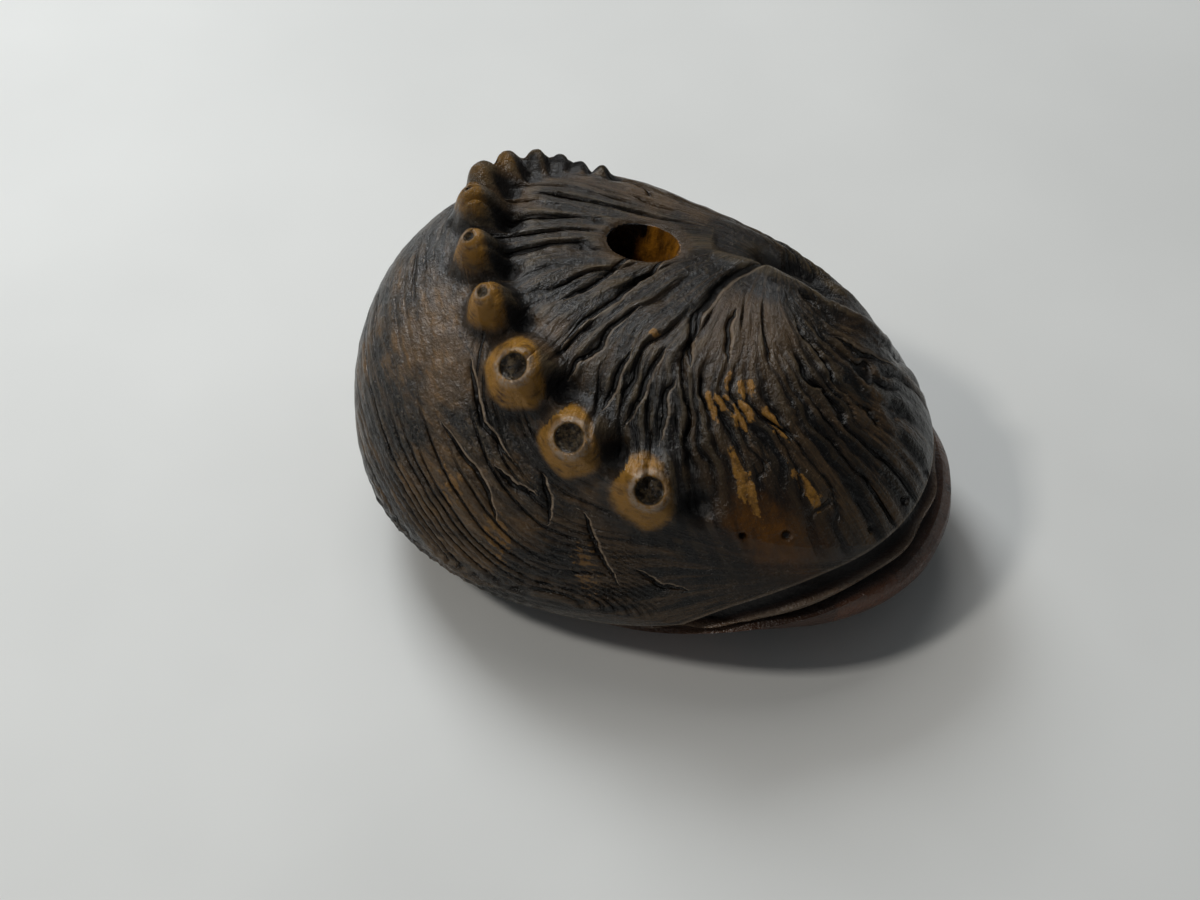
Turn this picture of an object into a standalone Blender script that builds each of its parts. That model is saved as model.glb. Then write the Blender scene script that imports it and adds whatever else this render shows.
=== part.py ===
"""Netsuke in the form of an abalone, carved from one piece of dark stained wood.

The shell side is up.  A row of raised nubs winds round the left end and in behind the
spire, growth folds run from the spire to that row and on to the rim, and the soft foot
of the animal bulges below the rim and is cut flat to stand on.  A bore for the cord
leans from the top of the shell to the underside.

Metres, +Z up.  +X is the growing end of the shell and +Y is its spire side.  The origin
is at the middle of the footprint, on the ground.  A place on the shell is given by its
bearing, the angle seen from above, and its lift, the angle up from the widest line.
Places and shapes of the carving are shares of the half length and the half width.
"""

import math

import bpy
import numpy as np
from mathutils import Quaternion, Vector

# Body
LENGTH = 0.0448
WIDTH = 0.0318
WAIST_HEIGHT = 0.0070
DOME_RISE = 0.01425
FOOT_OVERRUN = 0.0010
SUMMIT_BACK = 0.128
SUMMIT_ASIDE = 0.144
FULLNESS = 0.71
FULLNESS_FRONT = 0.23
FULLNESS_FAR = -0.36
FULLNESS_FOOT = 0.80
BLUNTNESS = 0.009

# Rim of the shell, the mantle frill under it, and the foot
RIM_TUCK_FRONT = 2.0
RIM_TUCK_BACK = 34.0
RIM_FRONT_BEARING = -12.0
RIM_FRONT_REACH = (40.0, 118.0)
RIM_RAISE = 15.0
RIM_RAISE_REACH = (18.0, 78.0)
RIM_CURL = 4.0
RIM_LIP = 0.00015
GROOVE_DEPTH = 0.0010
FRILL_DEPTH = 0.0003
FRILL_WAVE = 0.00018
FRILL_WAVES = 19
UNDER_RIM_DROPS = (3.0, 5.5, 8.0, 10.0)
FOOT_PROUD = 0.0013
FOOT_PROUD_BACK = -0.0006
FOOT_BEARING = 8.0
FOOT_REACH = (12.0, 62.0)
FOOT_START = 12.5
FOOT_SHARES = (0.0, 0.14, 0.30, 0.48, 0.66, 0.84, 1.0)
FOOT_BULGE_HIGH = 0.72
FOOT_BULGE_BLUNT = 0.8

# Growth folds and the row that the nubs stand on
SPIRE = (0.50, 0.45)
SPIRE_DEPTH = 0.0006
SWIRL = 42.0
FOLD_COUNT = 24
FOLD_DEPTH = 0.0008
BAND_COUNT = 5
BAND_DEPTH = 0.0005
BAND_START = (3.0, 14.0)
EDGE_BLEND = (-0.0006, 0.0010)
FOLD_START = (0.03, 0.16)
FOLD_FADE = 14.0
RIM_FADE = (1.0, 9.0)
ROW_HEIGHT = 0.00045
ROW_SPREAD = 0.0016
ROW_START = (45.0, 70.0)

# Cleft behind the near lobe, by the spire
CLEFT_DEPTH = 0.0021
CLEFT_SPREAD = 0.00075
LIP_HEIGHT = 0.0006
LIP_OFFSET = 0.0014
CLEFT_TAPER = 0.6
CLEFT_LIFT = 15.0

# Cord bore
BORE_DIAMETER = 0.0046
BORE_MOUTH = (-0.118, 0.486)
BORE_EXIT = (-0.33, 0.15)
BORE_SIDES = 18
BORE_SPARE = 0.004

# Mesh
BEARINGS = 96
DOME_RINGS = 22
RING_CROWDING = 1.7
FLAT_RINGS = 2
NUB_SIDES = 12
DRILL_SIDES = 10
NUB_SPIN = 37.0
WELD = 0.00002

NAME = "netsuke"

# Each nub: bearing, lift, width at its foot, height, and width of the drilled hollow
NUBS = (
    (-69.0, 37.5, 0.0056, 0.0013, 0.0021),
    (-95.0, 47.0, 0.0050, 0.0017, 0.0021),
    (-124.0, 61.5, 0.0052, 0.0018, 0.0020),
    (-155.5, 74.0, 0.0037, 0.0022, 0.0009),
    (177.5, 78.0, 0.0037, 0.0022, 0.0009),
    (157.0, 75.0, 0.0039, 0.0020, 0.0008),
    (146.0, 66.5, 0.0035, 0.0012, 0.0),
    (137.5, 64.0, 0.0028, 0.0011, 0.0),
    (130.0, 64.0, 0.0024, 0.0010, 0.0),
    (124.0, 64.5, 0.0019, 0.0008, 0.0),
    (118.5, 65.5, 0.0018, 0.0007, 0.0),
    (111.5, 68.0, 0.0014, 0.0005, 0.0),
)

# Line of the nub row and, past it, of the edge of the folds: bearing and lift
ROW_LINE = (
    (-180.0, 77.8), (-155.5, 74.0), (-124.0, 61.5), (-95.0, 47.0), (-69.0, 37.5),
    (-48.0, 25.0), (-28.0, 16.0), (-8.0, 5.0), (0.0, -4.0), (20.0, -8.0),
    (25.0, 8.0), (29.0, 40.0), (40.0, 56.0), (54.0, 62.0), (77.5, 69.0),
    (111.5, 68.0), (126.5, 64.0), (146.0, 66.0), (157.0, 75.0), (180.0, 77.8),
)

# Line of the cleft seen from above, as shares of the half length and half width
CLEFT_LINE = ((0.11, 0.57), (0.20, 0.585), (0.30, 0.595), (0.40, 0.585), (0.50, 0.56), (0.60, 0.565), (0.71, 0.60))

# Half section of a nub: share of its height, and share of its half width at the foot
NUB_PROFILE = ((1.0, 0.0), (1.0, 0.46), (0.84, 0.66), (0.42, 0.82), (0.0, 1.0))
NUB_ROOT = 0.0008
HOLLOW_DEPTH = 0.0007

# Finish
WOOD = (0.065, 0.034, 0.018)
WOOD_ROUGHNESS = 0.42
SHARP_ANGLE = 40.0


def smooth_step(values, low, high):
    """Zero below low, one above high, and a smooth rise between."""
    share = np.clip((values - low) / (high - low), 0.0, 1.0)
    return share * share * (3.0 - 2.0 * share)


def fullness(bearing):
    """Power of the dome's profile: small where the shoulder is full, large where it slopes."""
    return FULLNESS + FULLNESS_FRONT * np.cos(bearing) + FULLNESS_FAR * np.sin(bearing)


def body_surface(bearing, lift):
    """Points of the plain body, without carving, for arrays of bearing and lift in radians."""
    half_length = LENGTH / 2.0
    half_width = WIDTH / 2.0
    reach = (half_length + half_width) / 2.0 + (half_length - half_width) / 2.0 * np.cos(2.0 * bearing)
    reach *= 1.0 + BLUNTNESS * np.cos(3.0 * bearing)
    above = lift > 0.0
    rise = np.sin(lift)
    share = np.maximum(np.cos(lift), 0.0) ** np.where(above, fullness(bearing), FULLNESS_FOOT)
    drift = np.clip(rise, 0.0, 1.0)
    height = WAIST_HEIGHT + np.where(above, DOME_RISE, WAIST_HEIGHT + FOOT_OVERRUN) * rise
    return np.stack(
        [
            reach * share * np.cos(bearing) - SUMMIT_BACK * half_length * drift,
            reach * share * np.sin(bearing) + SUMMIT_ASIDE * half_width * drift,
            np.maximum(height, 0.0),
        ],
        axis=-1,
    )


def surface_frame(bearing, lift):
    """Point, outward normal, and length per radian of lift, at each bearing and lift."""
    step = math.radians(0.5)
    along = body_surface(bearing + step, lift) - body_surface(bearing - step, lift)
    upward = body_surface(bearing, lift + step) - body_surface(bearing, lift - step)
    normal = np.cross(along, upward)
    normal /= np.linalg.norm(normal, axis=-1, keepdims=True) + 1e-12
    stretch = np.linalg.norm(upward, axis=-1) / (2.0 * step)
    return body_surface(bearing, lift), normal, stretch


def bearing_window(bearing, middle, reach):
    """One round a middle bearing in degrees, and zero past the second reach from it."""
    away = np.degrees(np.abs(np.angle(np.exp(1j * (bearing - math.radians(middle))))))
    return 1.0 - smooth_step(away, *reach)


def rim_lift(bearing):
    """Lift of the shell's rim: near the widest line in front, tucked well under elsewhere."""
    front = bearing_window(bearing, RIM_FRONT_BEARING, RIM_FRONT_REACH)
    raised = RIM_RAISE * bearing_window(bearing, RIM_FRONT_BEARING, RIM_RAISE_REACH)
    return np.radians(raised - RIM_TUCK_BACK - (RIM_TUCK_FRONT - RIM_TUCK_BACK) * front)


def dome_foot(bearing):
    """Lift where the dome ends: the widest line, or just over the rim where that is higher."""
    return np.maximum(rim_lift(bearing) + math.radians(RIM_CURL), 0.0)


def row_lift(bearing):
    """Lift of the nub row, and of the edge of the folds, at each bearing."""
    line = np.array(ROW_LINE)
    return np.radians(np.interp(np.degrees(bearing), line[:, 0], line[:, 1]))


def fold_wave(turns):
    """Rounded ridges at 0 and valleys at -1, one ridge for each whole turn."""
    return 0.5 * np.cos(2.0 * math.pi * turns) - 0.5


def unfold(meridian, share):
    """Bearing and lift at a share of the way from the spire to the widest line.

    A meridian leaves the spire, swirls as it goes, and meets the widest line at its own
    bearing.  The places are worked out in a unit disk, whose edge is the widest line.
    """
    turn = meridian - math.radians(SWIRL) * (1.0 - share)
    across = SPIRE[0] * (1.0 - share) + share * np.cos(turn)
    upward = SPIRE[1] * (1.0 - share) + share * np.sin(turn)
    bearing = np.arctan2(upward, across)
    reach = np.minimum(np.hypot(across, upward), 1.0)
    end = dome_foot(bearing)
    rise = np.arccos(reach ** (1.0 / fullness(bearing)))
    return bearing, end + rise * (1.0 - end / (math.pi / 2.0))


def distance_to_line(points, line):
    """Plan distance from each point to a line of straight runs, and which side it is on."""
    best = np.full(points.shape[:-1], 1.0)
    side = np.zeros(points.shape[:-1])
    share = np.zeros(points.shape[:-1])
    for index in range(len(line) - 1):
        start = np.array(line[index])
        run = np.array(line[index + 1]) - start
        offset = points[..., :2] - start
        along = np.clip((offset @ run) / (run @ run), 0.0, 1.0)
        gap = offset - along[..., None] * run
        distance = np.hypot(gap[..., 0], gap[..., 1])
        nearer = distance < best
        best = np.where(nearer, distance, best)
        side = np.where(nearer, np.sign(run[0] * gap[..., 1] - run[1] * gap[..., 0]), side)
        share = np.where(nearer, (index + along) / (len(line) - 1), share)
    return best, side, share


def shell_relief(points, stretch, bearing, lift, meridian, share):
    """Height of the carving over the plain body above the rim."""
    rim = rim_lift(bearing)
    below_row = row_lift(bearing) - lift
    inside = 1.0 - smooth_step(below_row * stretch, *EDGE_BLEND)

    folds = fold_wave(meridian / (2.0 * math.pi) * FOLD_COUNT) * smooth_step(share, *FOLD_START)
    folds *= smooth_step(lift, 0.0, math.radians(FOLD_FADE))

    span = np.maximum(row_lift(bearing) - rim, math.radians(FOLD_FADE))
    bands = fold_wave(below_row / span * BAND_COUNT)
    bands *= smooth_step(np.degrees(below_row), *BAND_START)
    bands *= smooth_step(np.degrees(lift - rim), *RIM_FADE)

    row = np.exp(-((below_row * stretch / ROW_SPREAD) ** 2))
    row *= smooth_step(np.degrees(np.abs(bearing)), *ROW_START)

    line = [(x * LENGTH / 2.0, y * WIDTH / 2.0) for x, y in CLEFT_LINE]
    gap, side, along = distance_to_line(points, line)
    taper = np.sin(along * math.pi) ** CLEFT_TAPER * (lift > math.radians(CLEFT_LIFT))
    cleft = np.exp(-((gap / CLEFT_SPREAD) ** 2)) * taper
    lips = np.exp(-(((gap - LIP_OFFSET) / CLEFT_SPREAD) ** 2)) * taper

    relief = FOLD_DEPTH * folds * inside + BAND_DEPTH * bands * (1.0 - inside)
    relief += ROW_HEIGHT * row - CLEFT_DEPTH * cleft + LIP_HEIGHT * lips * (side < 0.0)
    return relief


def under_rim_rings(bearing):
    """Rings of the groove under the rim with the wavy mantle frill that stands in it."""
    rim = rim_lift(bearing)
    frill = FRILL_DEPTH - FRILL_WAVE * np.cos(FRILL_WAVES * bearing)
    plain = np.full_like(bearing, GROOVE_DEPTH)
    rings = []
    for drop, depth in zip(UNDER_RIM_DROPS, (plain, plain, frill, plain)):
        points, normal, _ = surface_frame(bearing, rim - math.radians(drop))
        rings.append(points - normal * depth[:, None])
    return rings


def foot_rings(bearing):
    """Rings of the foot, from the groove down its bulging side to the ground."""
    start = rim_lift(bearing) - math.radians(FOOT_START)
    front = bearing_window(bearing, FOOT_BEARING, FOOT_REACH)
    ground = -math.asin(WAIST_HEIGHT / (WAIST_HEIGHT + FOOT_OVERRUN))
    proud = FOOT_PROUD_BACK + (FOOT_PROUD - FOOT_PROUD_BACK) * front
    rings = []
    for share in FOOT_SHARES:
        points, normal, _ = surface_frame(bearing, start + (ground - start) * share)
        bulge = abs(math.sin(math.pi * share ** FOOT_BULGE_HIGH)) ** FOOT_BULGE_BLUNT
        ring = points + normal * (proud * bulge)[:, None]
        ring[:, 2] = np.maximum(ring[:, 2], 0.0) if share < 1.0 else 0.0
        rings.append(ring)
    return rings


def shell_rings(meridian):
    """Rings of the carved shell, from just round the spire down to the rim."""
    steps = np.arange(1, DOME_RINGS + 1) / DOME_RINGS
    stations = [(*unfold(meridian, share), share) for share in 1.0 - (1.0 - steps) ** RING_CROWDING]
    rim = rim_lift(meridian)
    stations += [(meridian, (rim + dome_foot(meridian)) * 0.5, 1.0), (meridian, rim, 1.0)]
    rings = []
    for bearing, lift, share in stations:
        points, normal, stretch = surface_frame(bearing, lift)
        relief = shell_relief(points, stretch, bearing, lift, meridian, share)
        rings.append(points + normal * relief[:, None])
    lip = rings[-1][:, :2]
    rings[-1][:, :2] = lip + RIM_LIP * lip / np.linalg.norm(lip, axis=1, keepdims=True)
    return rings


def build_body():
    """The body as a loft of closed rings: shell, groove with the frill, foot and flat."""
    bearing = np.radians(np.arange(BEARINGS) * 360.0 / BEARINGS - 180.0)
    rings = shell_rings(bearing) + under_rim_rings(bearing) + foot_rings(bearing)
    ground = rings[-1]
    centre = ground.mean(axis=0)
    for index in range(1, FLAT_RINGS + 1):
        rings.append(centre + (ground - centre) * (1.0 - index / (FLAT_RINGS + 1.0)))
    spire = body_surface(*unfold(np.array([0.0]), 0.0)) - (0.0, 0.0, SPIRE_DEPTH)
    points = np.vstack([spire] + rings + [centre[None, :]])

    faces = []
    last = 1 + (len(rings) - 1) * BEARINGS
    for place in range(BEARINGS):
        following = (place + 1) % BEARINGS
        faces.append((0, 1 + place, 1 + following))
        for upper in range(1, last, BEARINGS):
            lower = upper + BEARINGS
            faces.append((upper + place, lower + place, lower + following, upper + following))
        faces.append((last + place, len(points) - 1, last + following))
    mesh = bpy.data.meshes.new(NAME)
    mesh.from_pydata([tuple(point) for point in points], [], faces)
    return bpy.data.objects.new(NAME, mesh)


def turned(name, profile, sides):
    """A solid turned round Z from a profile of (radius, height), top first, closed at both ends."""
    mesh = bpy.data.meshes.new(name)
    points = [(radius, 0.0, height) for radius, height in profile]
    mesh.from_pydata(points, [(index, index + 1) for index in range(len(points) - 1)], [])
    shape = bpy.data.objects.new(name, mesh)
    screw = shape.modifiers.new("turn", "SCREW")
    screw.axis = "Z"
    screw.steps = sides
    screw.render_steps = sides
    screw.use_merge_vertices = True
    screw.merge_threshold = 0.00001
    return shape


def place_on(shape, point, direction, spin=0.0):
    """Stands a shape on a point with its Z axis along a direction, turned by spin degrees."""
    shape.location = point
    shape.rotation_mode = "QUATERNION"
    upright = Vector(direction).to_track_quat("Z", "Y")
    shape.rotation_quaternion = upright @ Quaternion((0.0, 0.0, 1.0), math.radians(spin))


def hide_guide(shape):
    """Marks a shape as a cutter or a guide, which isn't itself a part."""
    shape.display_type = "WIRE"
    shape.hide_render = True


def combine(body, shape, operation):
    """Adds a Boolean of one operation to the body."""
    boolean = body.modifiers.new(shape.name, "BOOLEAN")
    boolean.operation = operation
    boolean.object = shape
    boolean.solver = "EXACT"


def add_nubs(body, guides):
    """Raises the nubs on their row, and drills the larger ones."""
    for index, (bearing, lift, width, height, hollow) in enumerate(NUBS):
        spot = (np.array([math.radians(bearing)]), np.array([math.radians(lift)]))
        points, normals, _ = surface_frame(*spot)
        base = points[0] + normals[0] * ROW_HEIGHT / 2.0
        profile = [(share * width / 2.0, height * rise) for rise, share in NUB_PROFILE]
        profile += [(width / 2.0, -NUB_ROOT), (0.0, -NUB_ROOT)]
        nub = turned(f"nub_{index + 1}", profile, NUB_SIDES)
        place_on(nub, base, normals[0], NUB_SPIN * index)
        guides.append(nub)
        combine(body, nub, "UNION")
        if hollow > 0.0:
            section = [(0.0, HOLLOW_DEPTH), (hollow / 2.0, HOLLOW_DEPTH)]
            section += [(hollow / 2.0, -HOLLOW_DEPTH), (0.0, -HOLLOW_DEPTH)]
            drill = turned(f"drill_{index + 1}", section, DRILL_SIDES)
            place_on(drill, base + normals[0] * height, normals[0], NUB_SPIN * index)
            guides.append(drill)
            combine(body, drill, "DIFFERENCE")


def add_bore(body, guides):
    """Drills the cord bore, which leans as it goes down from the top to the underside."""
    scale = np.array([LENGTH / 2.0, WIDTH / 2.0])
    mouth = np.append(np.array(BORE_MOUTH) * scale, WAIST_HEIGHT + DOME_RISE)
    run = mouth - np.append(np.array(BORE_EXIT) * scale, 0.0)
    depth = float(np.linalg.norm(run))
    radius = BORE_DIAMETER / 2.0
    profile = [
        (0.0, BORE_SPARE),
        (radius, BORE_SPARE),
        (radius, -depth - BORE_SPARE),
        (0.0, -depth - BORE_SPARE),
    ]
    bore = turned("cord_bore", profile, BORE_SIDES)
    place_on(bore, mouth, run)
    guides.append(bore)
    combine(body, bore, "DIFFERENCE")


def wood_material():
    """Dark stained wood with a dull waxed sheen."""
    material = bpy.data.materials.new("stained_wood")
    material.use_nodes = True
    shader = material.node_tree.nodes["Principled BSDF"]
    shader.inputs["Base Color"].default_value = (*WOOD, 1.0)
    shader.inputs["Roughness"].default_value = WOOD_ROUGHNESS
    shader.inputs["Metallic"].default_value = 0.0
    return material


def clear_scene():
    """Removes every object of the scene."""
    for shape in list(bpy.data.objects):
        bpy.data.objects.remove(shape, do_unlink=True)


def centre_on_footprint(body, anchor):
    """Moves the anchor so that the finished body's box is centred on the origin, on the ground."""
    bpy.context.view_layer.update()
    finished = body.evaluated_get(bpy.context.evaluated_depsgraph_get())
    corners = np.array([finished.matrix_world @ Vector(corner) for corner in finished.bound_box])
    middle = (corners.min(axis=0) + corners.max(axis=0)) / 2.0
    anchor.location = (-middle[0], -middle[1], -corners[:, 2].min())


def build():
    """Builds the netsuke.

    The loft's quads are bent, so they are split into flat facets before anything is joined
    to them or cut from them.
    """
    clear_scene()
    parts = bpy.data.collections.new(NAME)
    cutters = bpy.data.collections.new("guides")
    bpy.context.scene.collection.children.link(parts)
    bpy.context.scene.collection.children.link(cutters)

    anchor = bpy.data.objects.new("footprint", None)
    cutters.objects.link(anchor)
    body = build_body()
    parts.objects.link(body)
    body.parent = anchor
    body.modifiers.new("facets", "TRIANGULATE")
    guides = []
    add_nubs(body, guides)
    add_bore(body, guides)
    for guide in guides:
        cutters.objects.link(guide)
        guide.parent = anchor
        hide_guide(guide)

    weld = body.modifiers.new("weld", "WELD")
    weld.merge_threshold = WELD
    body.data.materials.append(wood_material())
    body.data.shade_smooth()
    body.data.set_sharp_from_angle(angle=math.radians(SHARP_ANGLE))
    centre_on_footprint(body, anchor)


build()
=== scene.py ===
"""Looks of a netsuke carved as an abalone from one piece of dark stained wood.

The fine carving is one closed mesh in place of the plain solid. Its meridians leave the
spire, swirl as they go and run on over the rim, under the mantle frill and round the
foot, so that growth folds and the cuts between them lie along the mesh. Sizes are
metres, bearings and lifts are degrees where they are named, and places are measured
from the middle of the body unless a docstring says otherwise.
"""

import logging
import math
from dataclasses import dataclass, field
from enum import Enum

import bpy
import numpy as np
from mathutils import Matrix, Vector


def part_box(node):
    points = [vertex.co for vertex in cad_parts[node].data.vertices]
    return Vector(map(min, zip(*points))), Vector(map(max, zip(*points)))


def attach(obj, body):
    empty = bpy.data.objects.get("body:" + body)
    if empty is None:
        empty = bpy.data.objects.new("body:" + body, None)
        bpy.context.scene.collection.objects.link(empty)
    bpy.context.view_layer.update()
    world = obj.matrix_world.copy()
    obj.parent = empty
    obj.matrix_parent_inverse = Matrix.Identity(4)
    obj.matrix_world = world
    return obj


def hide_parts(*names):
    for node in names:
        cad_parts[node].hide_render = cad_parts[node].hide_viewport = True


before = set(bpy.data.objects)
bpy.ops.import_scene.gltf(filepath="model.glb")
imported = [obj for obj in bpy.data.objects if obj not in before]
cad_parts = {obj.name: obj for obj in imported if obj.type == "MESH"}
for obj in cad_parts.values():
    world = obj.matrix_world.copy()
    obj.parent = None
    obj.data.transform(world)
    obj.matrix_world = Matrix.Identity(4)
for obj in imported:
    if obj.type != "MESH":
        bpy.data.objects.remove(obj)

LOG = logging.getLogger("netsuke")
MM = 0.001
# How many half widths from a nub or a cut count as far from it
FAR = 6.0
Array = np.ndarray


class Lines(Enum):
    """The families of cut lines that the carving keeps for its finish."""

    FOLD = "fold"
    ROPE = "rope"
    BAND = "band"


def smooth_step(values: Array, low: float, high: float) -> Array:
    """Zero below low, one above high, and a smooth cubic rise between.

    Args:
        values: Any array of numbers.
        low: Value where the rise starts.
        high: Value where it ends; less than low gives a fall.

    Returns:
        Numbers from 0 to 1 in the shape of values.
    """
    share = np.clip((values - low) / (high - low), 0.0, 1.0)
    return share * share * (3.0 - 2.0 * share)


def bump(distance: Array, spread: float) -> Array:
    """A bell: one at distance 0, falling as the exponential of minus its square."""
    return np.exp(-((distance / spread) ** 2))


def lattice_noise(across: Array, along: Array, third: Array, seed: int) -> Array:
    """Smooth noise from random numbers on a whole-number lattice.

    Each corner of the cell round a place has a fixed random number, and the eight are
    blended by a cubic ease along each direction.

    Args:
        across: First coordinate of each place.
        along: Second coordinate.
        third: Third coordinate.
        seed: Picks one noise from another.

    Returns:
        Numbers from -1 to 1.
    """
    places = np.stack(np.broadcast_arrays(across, along, third), axis=-1).astype(float)
    cell = np.floor(places)
    part = places - cell
    ease = part * part * (3.0 - 2.0 * part)
    cell = cell.astype(np.int64)
    total = np.zeros(places.shape[:-1])
    for corner in range(8):
        step = np.array([corner & 1, (corner >> 1) & 1, (corner >> 2) & 1])
        weight = np.prod(np.where(step == 1, ease, 1.0 - ease), axis=-1)
        total += weight * scatter((cell + step) @ np.array([73856093, 19349663, 83492791]) + seed * 7919)
    return 2.0 * total - 1.0


def ring_noise(angle: Array, reach: float, third: Array, seed: int) -> Array:
    """Lattice noise round a circle of that reach, so that it meets itself."""
    return lattice_noise(np.cos(angle) * reach, np.sin(angle) * reach, third, seed)


def closed_tube(rings: int, around: int) -> Array:
    """Triangles between rings of points, with a fan from a pole at either end.

    Args:
        rings: Number of rings.
        around: Points round each ring; the two poles follow the last of them.

    Returns:
        Three point numbers for each triangle, facing out where the rings run downwards and
        their points go round from +X to +Y.
    """
    here = np.arange(rings * around).reshape(rings, around)
    after = np.roll(here, -1, axis=1)
    a, b, c, d = here[:-1], after[:-1], after[1:], here[1:]
    walls = np.concatenate([np.stack([a, d, c], -1), np.stack([a, c, b], -1)]).reshape(-1, 3)
    top = np.stack([np.full(around, rings * around), here[0], after[0]], -1)
    base = np.stack([np.full(around, rings * around + 1), after[-1], here[-1]], -1)
    return np.concatenate([walls, top, base])


def scatter(numbers: Array) -> Array:
    """Random-looking numbers from 0 to 1, the same for the same whole number.

    Args:
        numbers: Whole numbers.

    Returns:
        Numbers in the same shape.
    """
    mixed = np.asarray(numbers, dtype=np.int64).astype(np.uint64) & np.uint64(0xFFFFFFFF)
    for shift, factor in ((16, 0x45D9F3B), (15, 0x2C1B3C6D)):
        mixed = ((mixed ^ (mixed >> np.uint64(shift))) * np.uint64(factor)) & np.uint64(0xFFFFFFFF)
    return ((mixed ^ (mixed >> np.uint64(16))) & np.uint64(0xFFFFFF)).astype(float) / 0xFFFFFF


def soften(field_values: Array, reach: int) -> Array:
    """Means of a grid's values over a window, taken twice, closed round the rings.

    The values are held past the first and the last ring.

    Args:
        field_values: One value for each point of the grid.
        reach: Points that the window reaches to each side.

    Returns:
        The softened values.
    """
    result = field_values
    for _ in range(2):
        padded = np.pad(result, ((reach, reach), (0, 0)), mode="edge")
        sums = np.cumsum(np.pad(padded, ((1, 0), (0, 0))), axis=0)
        result = (sums[2 * reach + 1:] - sums[:-2 * reach - 1]) / (2 * reach + 1)
        wrapped = np.pad(result, ((0, 0), (reach, reach)), mode="wrap")
        sums = np.cumsum(np.pad(wrapped, ((0, 0), (1, 0))), axis=1)
        result = (sums[:, 2 * reach + 1:] - sums[:, :-2 * reach - 1]) / (2 * reach + 1)
    return result


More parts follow.
